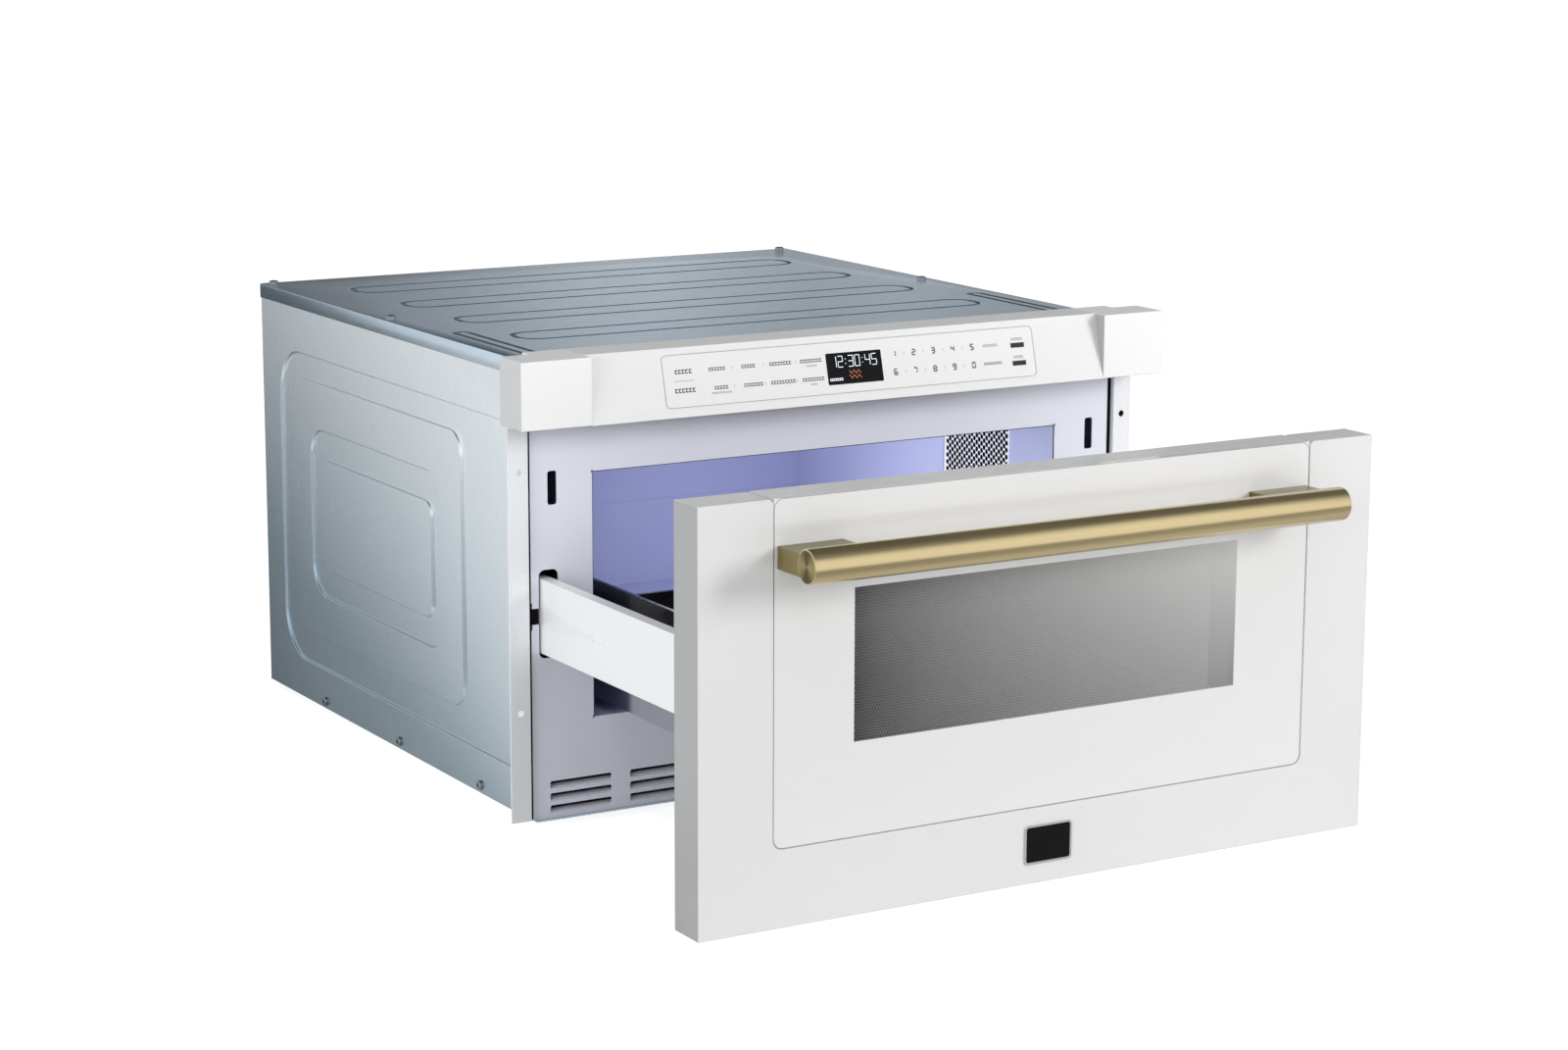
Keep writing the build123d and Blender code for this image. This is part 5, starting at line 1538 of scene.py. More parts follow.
@dataclass
class ControlPanel:
    """The leaning bezel, its end blocks, the touch film with its marks, and the display."""

    shop: Workshop
    radius: float = 0.8 * MM
    frame_line: float = 0.34 * MM
    frame_inset: float = 0.3 * MM
    frame_corner: float = 4.0 * MM
    corner_bars: int = 6
    overlap: float = 1.04
    proud: float = 0.06 * MM
    # Shares of a letter's height, but its bars' width and its stem's place are shares of its pitch.
    letter_pitch: float = 0.95
    letter_rise: float = 0.38
    letter_bar: Span = (0.74, 0.26)
    letter_stem: Span = (0.24, 0.9)
    stem_left: float = 0.28
    # By how many strokes a digit's level and upright bars are shorter than its width and half height.
    bar_short: Span = (1.3, 1.1)
    # A colon's dots: their size in strokes, and their place as a share of the digits' height.
    dot_strokes: float = 1.3
    dot_rise: float = 0.2
    digit_size: tuple[float, float] = (3.8 * MM, 5.4 * MM)
    digit_stroke: float = 1.0 * MM
    digit_start: float = 38.5 * MM
    digit_pitch: float = 19.0 * MM
    divider: tuple[float, float] = (0.3 * MM, 2.2 * MM)
    divider_places: tuple[float, ...] = (-112.5 * MM, -84.0 * MM, -54.5 * MM)
    rule: tuple[float, float] = (18.0 * MM, 0.35 * MM)
    rule_place: float = -157.0 * MM
    button: tuple[float, float] = (13.5 * MM, 4.0 * MM)
    button_place: float = 159.5 * MM
    button_drop: float = 1.6 * MM
    face_corner: float = 1.0 * MM
    display_digit: tuple[float, float] = (4.9 * MM, 9.4 * MM)
    display_stroke: float = 0.5 * MM
    display_text: str = "12:30:45"
    display_level: float = 5.6 * MM
    display_gap: float = 1.25 * MM
    colon_share: float = 0.5
    wave_width: float = 11.0 * MM
    wave_stroke: float = 0.4 * MM
    wave_bars: int = 5
    wave_angle: float = 52.0
    wave_overlap: float = 1.05
    wave_levels: tuple[float, ...] = (-3.4 * MM, -7.2 * MM)
    note: tuple[float, float, float, float] = (-18.0 * MM, -8.6 * MM, 12.5 * MM, 1.9 * MM)

    def build(self) -> None:
        """Build the panel and everything on it."""
        self.shop.softened("control_bezel", BEZEL_PAINT, "case", "white_paint", self.radius)
        # The blocks' left and right sides take darker copies of their paint, painted shade.
        for side, paint in zip(Side, (BLOCK_SIDE_SHADE, BLOCK_SHADE_PAINT)):
            block = side.named("bezel_end")
            self.shop.softened(block, BLOCK_PAINT, "case", "white_paint", self.radius, side_finish=paint)
        self.shop.dress(PANEL_FILM, "touch_panel")
        self.shop.dress(DISPLAY_BLACK, "display_module")
        self.shop.dress(BOARD, "control_board")
        self.set_slope()
        self.outline()
        self.keys()
        self.display()

    def set_slope(self) -> None:
        """Find the leaning face from the touch film's outer side."""
        film = self.shop.frame["nodes"]["touch_panel"].data
        normal = max((p for p in film.polygons if p.normal.y < 0), key=lambda p: p.area).normal
        out = Vector((0, normal.y, normal.z)).normalized()
        self.out, self.up = out, Vector((0, out.z, -out.y))
        spots = self.outer_side("touch_panel")
        base = min(spots, key=lambda spot: spot.dot(self.up))
        self.base = Vector((0, base.y, base.z))
        self.film = (min(spot.x for spot in spots), max(spot.x for spot in spots))
        self.film_v = self.rise("touch_panel")
        turn = Matrix((Vector((1, 0, 0)), self.up, out)).transposed().to_4x4()
        self.to_panel = Matrix.Translation(self.base) @ turn

    def outer_side(self, node: str) -> list[Vector]:
        """The corners of a flat solid's outer side.

        Args:
            node: The solid.

        Returns:
            Its vertices that lie furthest out of the leaning face.
        """
        spots = [vertex.co.copy() for vertex in self.shop.frame["nodes"][node].data.vertices]
        level = max(spot.dot(self.out) for spot in spots)
        return [spot for spot in spots if level - spot.dot(self.out) < FLAT_SLACK]

    def rise(self, node: str) -> Span:
        """How far up the slope a flat solid's outer side reaches, from the film's lower edge."""
        heights = [(spot - self.base).dot(self.up) for spot in self.outer_side(node)]
        return min(heights), max(heights)

    def mark(self, name: str, mesh: Mesh, finish: object, raised: float = 0.0) -> None:
        """Lay a flat mark, drawn in the panel's own plane, on the leaning face.

        Args:
            name: The piece's name.
            mesh: The mark, in the XY plane with its face towards +Z.
            finish: Its finish.
            raised: How far above the face it lies.
        """
        bmesh.ops.translate(mesh, verts=mesh.verts, vec=(0, 0, raised))
        bmesh.ops.transform(mesh, matrix=self.to_panel, verts=mesh.verts)
        self.shop.piece(name, mesh, finish, "case", "touch_film", smooth=False)

    def bar(self, mesh: Mesh, u: float, v: float, width: float, height: float, turn: float = 0.0) -> None:
        """Add one thin raised bar to a mark.

        Args:
            mesh: The mark.
            u: The bar's middle across the panel.
            v: Its middle up the slope.
            width: Its width.
            height: Its height.
            turn: Its angle.
        """
        matrix = (
            Matrix.Translation((u, v, self.proud / 2))
            @ Matrix.Rotation(turn, 4, "Z")
            @ Matrix.Diagonal((width, height, self.proud, 1))
        )
        bmesh.ops.create_cube(mesh, size=1.0, matrix=matrix)

    def outline(self) -> None:
        """Print the thin line round the touch film."""
        mesh = bmesh.new()
        inset = self.frame_inset
        (u0, u1), (v0, v1) = ((low + inset, high - inset) for low, high in (self.film, self.film_v))
        corner, line = self.frame_corner, self.frame_line
        for v in (v0, v1):
            self.bar(mesh, (u0 + u1) / 2, v, u1 - u0 - 2 * corner, line)
        for u in (u0, u1):
            self.bar(mesh, u, (v0 + v1) / 2, line, v1 - v0 - 2 * corner)
        turn = QUARTER / self.corner_bars
        centres = ((u1 - corner, v1 - corner), (u0 + corner, v1 - corner))
        centres += ((u0 + corner, v0 + corner), (u1 - corner, v0 + corner))
        for quarter, (u, v) in enumerate(centres):
            for step in range(self.corner_bars):
                angle = quarter * QUARTER + (step + 0.5) * turn
                du, dv = corner * math.cos(angle), corner * math.sin(angle)
                self.bar(mesh, u + du, v + dv, line, corner * turn * self.overlap, angle)
        self.mark("panel_outline", mesh, FAINT_PRINT)

    def seven_segments(self, mesh: Mesh, glyph: str, u: float, v: float, size: Span, stroke: float) -> None:
        """Add a digit made of seven bars.

        Args:
            mesh: The mark.
            glyph: The digit, or a colon.
            u: The digit's middle across the panel.
            v: Its middle up the slope.
            size: Its width and height.
            stroke: The bars' width.
        """
        width, height = size
        if glyph == ":":
            dot = stroke * self.dot_strokes
            for sign in (-1, 1):
                self.bar(mesh, u, v + sign * height * self.dot_rise, dot, dot)
            return
        half_w, half_h = (width - stroke) / 2, (height - stroke) / 2
        level = width - self.bar_short[0] * stroke
        upright = height / 2 - self.bar_short[1] * stroke
        bars = {
            "a": (0, half_h, level, stroke),
            "g": (0, 0, level, stroke),
            "d": (0, -half_h, level, stroke),
            "b": (half_w, half_h / 2, stroke, upright),
            "c": (half_w, -half_h / 2, stroke, upright),
            "e": (-half_w, -half_h / 2, stroke, upright),
            "f": (-half_w, half_h / 2, stroke, upright),
        }
        for name in SEGMENTS[glyph]:
            du, dv, bar_w, bar_h = bars[name]
            self.bar(mesh, u + du, v + dv, bar_w, bar_h)

    def word(self, mesh: Mesh, u: float, v: float, length: float, height: float) -> None:
        """Add a plain row of short strokes in the place of a label.

        Args:
            mesh: The mark.
            u: Its middle.
            v: Its level.
            length: Its length.
            height: Its height.
        """
        pitch = height * self.letter_pitch
        count = max(2, round(length / pitch))
        (bar_w, bar_h), (stem_w, stem_h) = self.letter_bar, self.letter_stem
        for step in range(count):
            place = u + (step - (count - 1) / 2) * pitch
            for rise in (-self.letter_rise, self.letter_rise):
                self.bar(mesh, place, v + height * rise, pitch * bar_w, height * bar_h)
            self.bar(mesh, place - pitch * self.stem_left, v, height * stem_w, height * stem_h)

    def keys(self) -> None:
        """Print the marks of the keys, on both sides of the display."""
        middle = (self.film_v[0] + self.film_v[1]) / 2
        dark, pale = bmesh.new(), bmesh.new()
        for row, digits in zip(Row, ("12345", "67890")):
            level = middle + row.value
            for step, digit in enumerate(digits):
                u = self.digit_start + step * self.digit_pitch
                self.seven_segments(dark, digit, u, level, self.digit_size, self.digit_stroke)
                if step:
                    self.bar(pale, u - self.digit_pitch / 2, level, *self.divider)
        for label in LABELS:
            level = middle + label.row.value + label.shift * MM
            mesh = pale if label.pale else dark
            self.word(mesh, label.across * MM, level, label.length * MM, label.height * MM)
        for u in self.divider_places:
            for row in Row:
                self.bar(pale, u, middle + row.value, *self.divider)
        self.bar(pale, self.rule_place, middle, *self.rule)
        for row in Row:
            self.bar(dark, self.button_place, middle + row.value - self.button_drop, *self.button)
        self.mark("key_marks", dark, PRINT)
        self.mark("key_marks_pale", pale, FAINT_PRINT)

    def display(self) -> None:
        """Light the display: a row of digits, two waves and a small line of text marks."""
        low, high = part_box("display_module")
        v_low, v_high = self.rise("display_module")
        v_mid = (v_low + v_high) / 2
        glass = bmesh.new()
        self.bar(glass, 0, v_mid, high.x - low.x, v_high - v_low)
        round_edges(glass, along(glass, Axis.Z), self.face_corner)
        self.mark("display_face", glass, DISPLAY_BLACK)
        self.mark("display_digits", self._digits(v_mid + self.display_level), LIT_WHITE, self.proud)
        self.mark("display_waves", self._waves(v_mid), LIT_RED, self.proud)
        small = bmesh.new()
        u, v, length, height = self.note
        self.word(small, u, v_mid + v, length, height)
        self.mark("display_note", small, LIT_WHITE, self.proud)

    def _digits(self, level: float) -> Mesh:
        """The display's row of digits.

        Args:
            level: The row's level on the slope.

        Returns:
            The flat mark.
        """
        mesh = bmesh.new()
        shares = [self.colon_share if glyph == ":" else 1.0 for glyph in self.display_text]
        widths = [self.display_digit[0] * share + self.display_gap for share in shares]
        u = -sum(widths) / 2
        for glyph, wide in zip(self.display_text, widths):
            self.seven_segments(mesh, glyph, u + wide / 2, level, self.display_digit, self.display_stroke)
            u += wide
        return mesh

    def _waves(self, middle: float) -> Mesh:
        """The display's zigzag waves.

        Args:
            middle: The level of the display's middle on the slope.

        Returns:
            The flat mark.
        """
        mesh = bmesh.new()
        step_width = self.wave_width / self.wave_bars
        for level in self.wave_levels:
            for step in range(self.wave_bars):
                turn = math.radians(self.wave_angle if step % 2 else -self.wave_angle)
                place = (step - (self.wave_bars - 1) / 2) * step_width
                length = step_width / math.cos(turn) * self.wave_overlap
                self.bar(mesh, place, middle + level, length, self.wave_stroke, turn)
        return mesh


# --------------------------------------------------------------------------- drawer front
@dataclass
class DrawerFront:
    """The painted frame, the back-painted glass with its clear window, the screen and the badge."""

    shop: Workshop
    edge_radius: float = 0.9 * MM
    window_half: float = 172.9 * MM
    window_low: float = 125.8 * MM
    window_high: float = 241.0 * MM
    hole_pitch: float = 2.45 * MM
    hole_share: float = 0.72
    screen_right: float = 149.0 * MM
    film: float = 0.15 * MM
    film_gap: float = 0.35 * MM
    rim: float = 1.6 * MM
    glass_corner: float = 8.0 * MM
    seam_line: float = 0.5 * MM
    seam_proud: float = 0.05 * MM
    edge_shade: float = 2.2 * MM
    pane_setback: float = 0.1 * MM
    screen_thickness: float = 0.3 * MM
    screen_margin: float = 1.2 * MM
    # How far the plain margins start past the holes, as shares of the pitch across and of a row.
    margin_right: float = 0.1
    margin_low: float = 0.4
    badge_corner: float = 3.5 * MM
    badge_sunk: float = 0.4 * MM
    badge_edge: float = 0.25 * MM
    field_corner: float = 2.0 * MM
    field_levels: Span = (0.36 * MM, 0.6 * MM)

    def build(self) -> None:
        """Build the drawer front's pieces."""
        radius = self.edge_radius
        # The frame's left and right sides take the dark grey copy of its paint, painted shade.
        self.shop.softened("door_frame", WHITE_PAINT, "drawer", "white_paint", radius, side_finish=FRAME_SIDE_SHADE)
        self.shop.dress(WHITE_PAINT, "door_inner_panel")
        self.shop.dress(GREY_PLASTIC, "door_choke")
        self.shop.dress(RUBBER, "door_bumpers")
        self.glass()
        self.seam()
        self.window_edge()
        self.screen()
        self.badge()

    def seam(self) -> None:
        """Build the thin grey seam between the pane and its frame."""
        low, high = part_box("door_glass")
        outline = Outline((low.x, high.x), (low.z, high.z), self.glass_corner)
        mesh = bmesh.new()
        rims = [outline.loop(mesh, inset, 0.0) for inset in (0.0, self.seam_line)]
        bridge(mesh, rims)
        bmesh.ops.solidify(mesh, geom=mesh.faces[:], thickness=self.seam_proud)
        turn_mesh(mesh, QUARTER, Axis.X)
        bmesh.ops.translate(mesh, verts=mesh.verts, vec=(0, low.y - self.seam_proud, 0))
        self.shop.piece("glass_seam", mesh, SEAM, "drawer", "rubber", smooth=False)

    def window_edge(self) -> None:
        """Build the dark strips of painted shade behind the glass along the window's bottom and left edges.
        """
        _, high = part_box("door_glass")
        near, far = high.y + self.seam_proud, high.y + 3 * self.seam_proud
        half, bottom = self.window_half, self.window_low
        mesh = box_mesh(
            ((-half, near, bottom), (half, far, bottom + self.edge_shade)),
            ((-half, near, bottom), (-half + self.edge_shade, far, self.window_high)),
        )
        self.shop.piece("window_edge", mesh, SEAL_AND_SHADE, "drawer", "screen_steel", smooth=False)

    def glass(self) -> None:
        """Build the painted pane round the window, and the clear window itself."""
        low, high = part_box("door_glass")
        mesh = merged_copy(self.shop.frame["nodes"]["door_glass"])
        half = self.window_half
        for x in (-half, half):
            cut_mesh(mesh, (x, 0, 0), (1, 0, 0))
        for z in (self.window_low, self.window_high):
            cut_mesh(mesh, (0, 0, z), (0, 0, 1))
        inside = [f for f in mesh.faces if self._in_window(f.calc_center_median())]
        bmesh.ops.delete(mesh, geom=inside, context="FACES")
        rims = [e for e in mesh.edges if e.is_boundary]
        bmesh.ops.bridge_loops(mesh, edges=rims)
        near = low.y + self.pane_setback
        pane = box_mesh(((-half, near, self.window_low), (half, high.y, self.window_high)))
        for name, part, finish in (
            ("door_glass_painted", mesh, GLASS_PAINT),
            ("door_window", pane, WINDOW_GLASS),
        ):
            self.shop.piece(name, part, finish, "drawer", "white_glass", ["door_glass"], smooth=False)

    def _in_window(self, point: Vector) -> bool:
        """Whether a point of the pane lies in the window."""
        return abs(point.x) < self.window_half and self.window_low < point.z < self.window_high

    def screen(self) -> None:
        """Build the perforated screen: rows of round holes, every other row set half a step on."""
        low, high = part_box("mesh_screen")
        pitch = self.hole_pitch
        row = pitch * math.sqrt(3) / 2
        left, right = -self.window_half - pitch, self.screen_right
        bottom, top = self.window_low + self.screen_margin, self.window_high + pitch
        mesh = bmesh.new()
        holes = repeated(self._hole(), int((right - left) / pitch), Vector((pitch, 0, 0)))
        for level in range(int((top - bottom) / row)):
            shift = pitch / 2 if level % 2 else 0.0
            add_copy(mesh, holes, Vector((left + shift, low.y, bottom + level * row)))
        bpy.data.meshes.remove(holes)
        bmesh.ops.remove_doubles(mesh, verts=mesh.verts, dist=pitch / 50)
        # A dark sheet behind the screen: painted shade of the inside, seen through the holes.
        back = low.y + self.film_gap
        film = box_mesh(
            (
                (-self.window_half - pitch, back, self.window_low - pitch),
                (self.window_half + pitch, back + self.film, self.window_high + pitch),
            )
        )
        self.shop.piece("window_film", film, SCREEN_SHADE_SHEET, "drawer", "screen_steel", smooth=False)
        edge, under = right + pitch * self.margin_right, bottom - row * self.margin_low
        for (x0, z0), (x1, z1) in (
            ((low.x, low.z), (left, high.z)),
            ((edge, low.z), (high.x, high.z)),
            ((left, low.z), (edge, under)),
            ((left, top), (edge, high.z)),
        ):
            add_box(mesh, (x0, low.y, z0), (x1, low.y + self.screen_thickness, z1))
        self.shop.piece(
            "mesh_screen_perforated",
            mesh,
            SCREEN,
            "drawer",
            "screen_steel",
            ["mesh_screen"],
            smooth=False,
            recalculate=False,
        )

    def _hole(self) -> Mesh:
        """One six-sided cell of the screen, upright, with its hole."""
        pitch = self.hole_pitch
        cell = bmesh.new()
        bmesh.ops.create_circle(cell, segments=6, radius=pitch / math.sqrt(3), cap_ends=True)
        turn_mesh(cell, math.pi / 6, Axis.Z)
        web = pitch / 2 * (1 - self.hole_share)
        ring = bmesh.ops.inset_region(cell, faces=cell.faces[:], thickness=web, use_boundary=True)["faces"]
        bmesh.ops.delete(cell, geom=[f for f in cell.faces if f not in ring], context="FACES_ONLY")
        turn_mesh(cell, QUARTER, Axis.X)
        return cell

    def badge(self) -> None:
        """Build the badge plate: a bright rim round a bare black field."""
        low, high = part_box("badge_plate")
        mesh = box_mesh((low, high))
        round_edges(mesh, along(mesh, Axis.Y), self.badge_corner, 6)
        front = [f for f in mesh.faces if f.calc_center_median().y < low.y + SLACK]
        bmesh.ops.inset_region(mesh, faces=front, thickness=self.rim, use_even_offset=True)
        sunk = list({v for f in front for v in f.verts})
        bmesh.ops.translate(mesh, verts=sunk, vec=(0, self.badge_sunk, 0))
        edge = [e for e in sharp_edges(mesh) if all(v.co.y < low.y + SLACK for v in e.verts)]
        round_edges(mesh, edge, self.badge_edge, 2)
        self.shop.piece("badge_rim", mesh, BADGE_RIM, "drawer", "badge", ["badge_plate"])
        near, far = (low.y + level for level in self.field_levels)
        rim = self.rim
        face = box_mesh(((low.x + rim, near, low.z + rim), (high.x - rim, far, high.z - rim)))
        round_edges(face, along(face, Axis.Y), self.field_corner, 6)
        self.shop.piece("badge_field", face, BADGE_BLACK, "drawer", "badge")


# --------------------------------------------------------------------------- handle
@dataclass
class Handle:
    """The brushed bar with its spun ends, and its two flat brackets."""

    shop: Workshop
    sides: int = 72
    chamfer: float = 0.8 * MM
    softness: float = 0.3
    lip: float = 0.4 * MM
    end_inset: float = 0.45
    end_depth: float = 0.5 * MM
    bracket_radius: float = 0.5 * MM
    # The ends' brass, darker than the bar's: painted shade.
    end_colour: Colour = (0.37, 0.30, 0.14)

    def build(self) -> None:
        """Build the bar, its ends and the brackets."""
        low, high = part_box("handle_bar")
        centre, radius = (low + high) / 2, (high.z - low.z) / 2
        self.bar(low.x, high.x, centre, radius)
        spun = SpunMetal("spun brass", self.end_colour, (centre.y, centre.z))
        for side, x in zip(Side, (low.x, high.x)):
            self.end(side, Vector((x, centre.y, centre.z)), radius, spun)
        radius = self.bracket_radius
        # The brackets take the darker copies of the brass, painted shade, the shaded one on most faces and
        # the flat one on their sides.
        self.shop.softened(
            "handle_brackets", SHADED_BRASS, "drawer", "gold_brass", radius, 2, side_finish=FLAT_BRASS
        )

    def bar(self, left: float, right: float, centre: Vector, radius: float) -> None:
        """Spin the bar from its profile, with softened ends.

        Args:
            left: Its left end.
            right: Its right end.
            centre: A point of its axis.
            radius: Its radius.
        """
        face, soft = radius - self.chamfer, self.chamfer * self.softness
        rises = ((0.0, face - self.lip), (0.0, face), (soft, radius - soft), (self.chamfer, radius))
        profile = [(left + x, r) for x, r in rises] + [(right - x, r) for x, r in reversed(rises)]
        mesh = bmesh.new()
        points = [mesh.verts.new((x, centre.y, centre.z + r)) for x, r in profile]
        edges = [mesh.edges.new(pair) for pair in zip(points, points[1:])]
        bmesh.ops.spin(
            mesh,
            geom=points + edges,
            cent=centre,
            axis=(1, 0, 0),
            dvec=(0, 0, 0),
            angle=2 * math.pi,
            steps=self.sides,
            use_merge=True,
            use_duplicate=False,
        )
        self.shop.piece("handle_bar_brushed", mesh, BRUSHED_BRASS, "drawer", "gold_brass", ["handle_bar"])

    def end(self, side: Side, centre: Vector, radius: float, finish: SpunMetal) -> None:
        """Build the disc that closes one end of the bar.

        Args:
            side: The side of the end.
            centre: The disc's middle.
            radius: The bar's radius.
            finish: The disc's finish.
        """
        disc = bmesh.new()
        turn = Matrix.Rotation(side.value * QUARTER, 4, "Y")
        bmesh.ops.create_circle(
            disc,
            cap_ends=True,
            segments=self.sides,
            radius=radius - self.chamfer - self.lip,
            matrix=Matrix.Translation(centre) @ turn,
        )
        bmesh.ops.inset_region(
            disc, faces=disc.faces[:], thickness=radius * self.end_inset, use_boundary=True
        )
        rim = [e for e in disc.edges if e.is_boundary]
        back = bmesh.ops.extrude_edge_only(disc, edges=rim)["geom"]
        ring = [g for g in back if isinstance(g, bmesh.types.BMVert)]
        bmesh.ops.translate(disc, verts=ring, vec=(-side.value * self.end_depth, 0, 0))
        bmesh.ops.contextual_create(disc, geom=ring)
        self.shop.piece(side.named("handle_end"), disc, finish, "drawer", "gold_brass")


# --------------------------------------------------------------------------- tray and slides
@dataclass
class TrayAndSlides:
    """The tray, its side members and the telescopic slides."""

    shop: Workshop
    member_radius: float = 1.1 * MM
    rivet_radius: float = 2.6 * MM
    rivet_proud: float = 0.5 * MM
    rivet_places: tuple[float, float] = (173.0 * MM, 194.1 * MM)
    basket_radius: float = 1.2 * MM
    pan_radius: float = 0.3 * MM

    def build(self) -> None:
        """Dress the tray and the slides."""
        for side in Side:
            member = side.named("drawer_member")
            self.shop.softened(member, SIDE_PAINT_PAINTED_LIGHT, "drawer", "white_paint", self.member_radius)
            self.rivets(side)
            self.shop.dress(ZINC, *(side.named(rail) for rail in ("inner_rail", "middle_rail", "fixed_rail")))
        self.shop.softened("tray_basket", BASKET_PLASTIC, "drawer", "black_plastic", self.basket_radius)
        self.shop.softened("tray_pan", STAINLESS, "drawer", "pan_steel", self.pan_radius, 2)
        self.shop.dress(CERAMIC, "tray_floor")
        self.shop.dress(WHITE_PLASTIC, "tray_glides", "drive_rack", "drive_pinion")
        self.shop.dress(ZINC, "latch_hooks")

    def rivets(self, side: Side) -> None:
        """Build the domed heads of the rivets that hold a member to its slide.

        Args:
            side: The member's side.
        """
        low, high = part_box(side.named("drawer_member"))
        face = low.x if side is Side.LEFT else high.x
        mesh = bmesh.new()
        for place in self.rivet_places:
            centre = Matrix.Translation((face, low.y + place, (low.z + high.z) / 2))
            dome = Matrix.Diagonal((self.rivet_proud, self.rivet_radius, self.rivet_radius, 1))
            bmesh.ops.create_uvsphere(mesh, u_segments=20, v_segments=12, radius=1.0, matrix=centre @ dome)
        self.shop.piece(side.named("member_rivets"), mesh, SIDE_PAINT_PAINTED_LIGHT, "drawer", "white_paint")


@dataclass
class Insides:
    """The electric and microwave parts inside the casing."""

    shop: Workshop

    def build(self) -> None:
        """Dress the parts inside."""
        self.shop.dress(INNER_SHEET, "waveguide", "lamp_housing")
        self.shop.dress(ALUMINIUM, "magnetron", "capacitor", "mode_stirrer")
        self.shop.dress(LAMINATION, "transformer_core", "fan_motor", "drive_motor")
        self.shop.dress(COPPER, "transformer_windings")
        self.shop.dress(ZINC, "stirrer_motor")
        self.shop.dress(BLACK_PLASTIC, "fan_shroud", "interlock_switches")
        self.shop.dress(GREY_PLASTIC, "fan_impeller")
        self.shop.dress(BOARD, "filter_board")
        self.shop.dress(WHITE_PLASTIC, "interlock_plunger_left", "interlock_plunger_right")
        self.shop.dress(CLEAR_GLASS, "oven_lamp")


# --------------------------------------------------------------------------- studio
def outward(azimuth: float, elevation: float) -> Vector:
    """The way out from the object, in degrees: azimuth 0 leads to the front and 90 to the right."""
    turn, lift = math.radians(azimuth), math.radians(elevation)
    return Vector((math.sin(turn) * math.cos(lift), -math.cos(turn) * math.cos(lift), math.sin(lift)))


@dataclass(frozen=True)
class Lamp:
    """One soft lamp that looks at the object. Azimuth 0 stands in front and 90 on the right."""

    name: str
    azimuth: float
    elevation: float
    distance: float
    size: Span
    energy: float
    colour: Colour = WHITE
    aim: tuple[float, float, float] = (0.0, 0.0, 0.2)

    def hang(self) -> None:
        """Hang the lamp. What metal mirrors comes from the room instead."""
        data = bpy.data.lights.new(self.name, "AREA")
        data.shape = "RECTANGLE"
        data.size, data.size_y = self.size
        data.energy = self.energy
        data.color = self.colour
        made = linked(self.name, data)
        out = outward(self.azimuth, self.elevation)
        made.location = Vector(self.aim) + out * self.distance
        made.rotation_euler = out.to_track_quat("Z", "Y").to_euler()
        made.visible_glossy = False


def greys(levels: Levels, tint: Colour = WHITE) -> list[tuple[float, Colour]]:
    """Ramp stops of one tint.

    Args:
        levels: Places and brightnesses.
        tint: The tint.

    Returns:
        Places and colours.
    """
    return [(place, tuple(level * channel for channel in tint)) for place, level in levels]


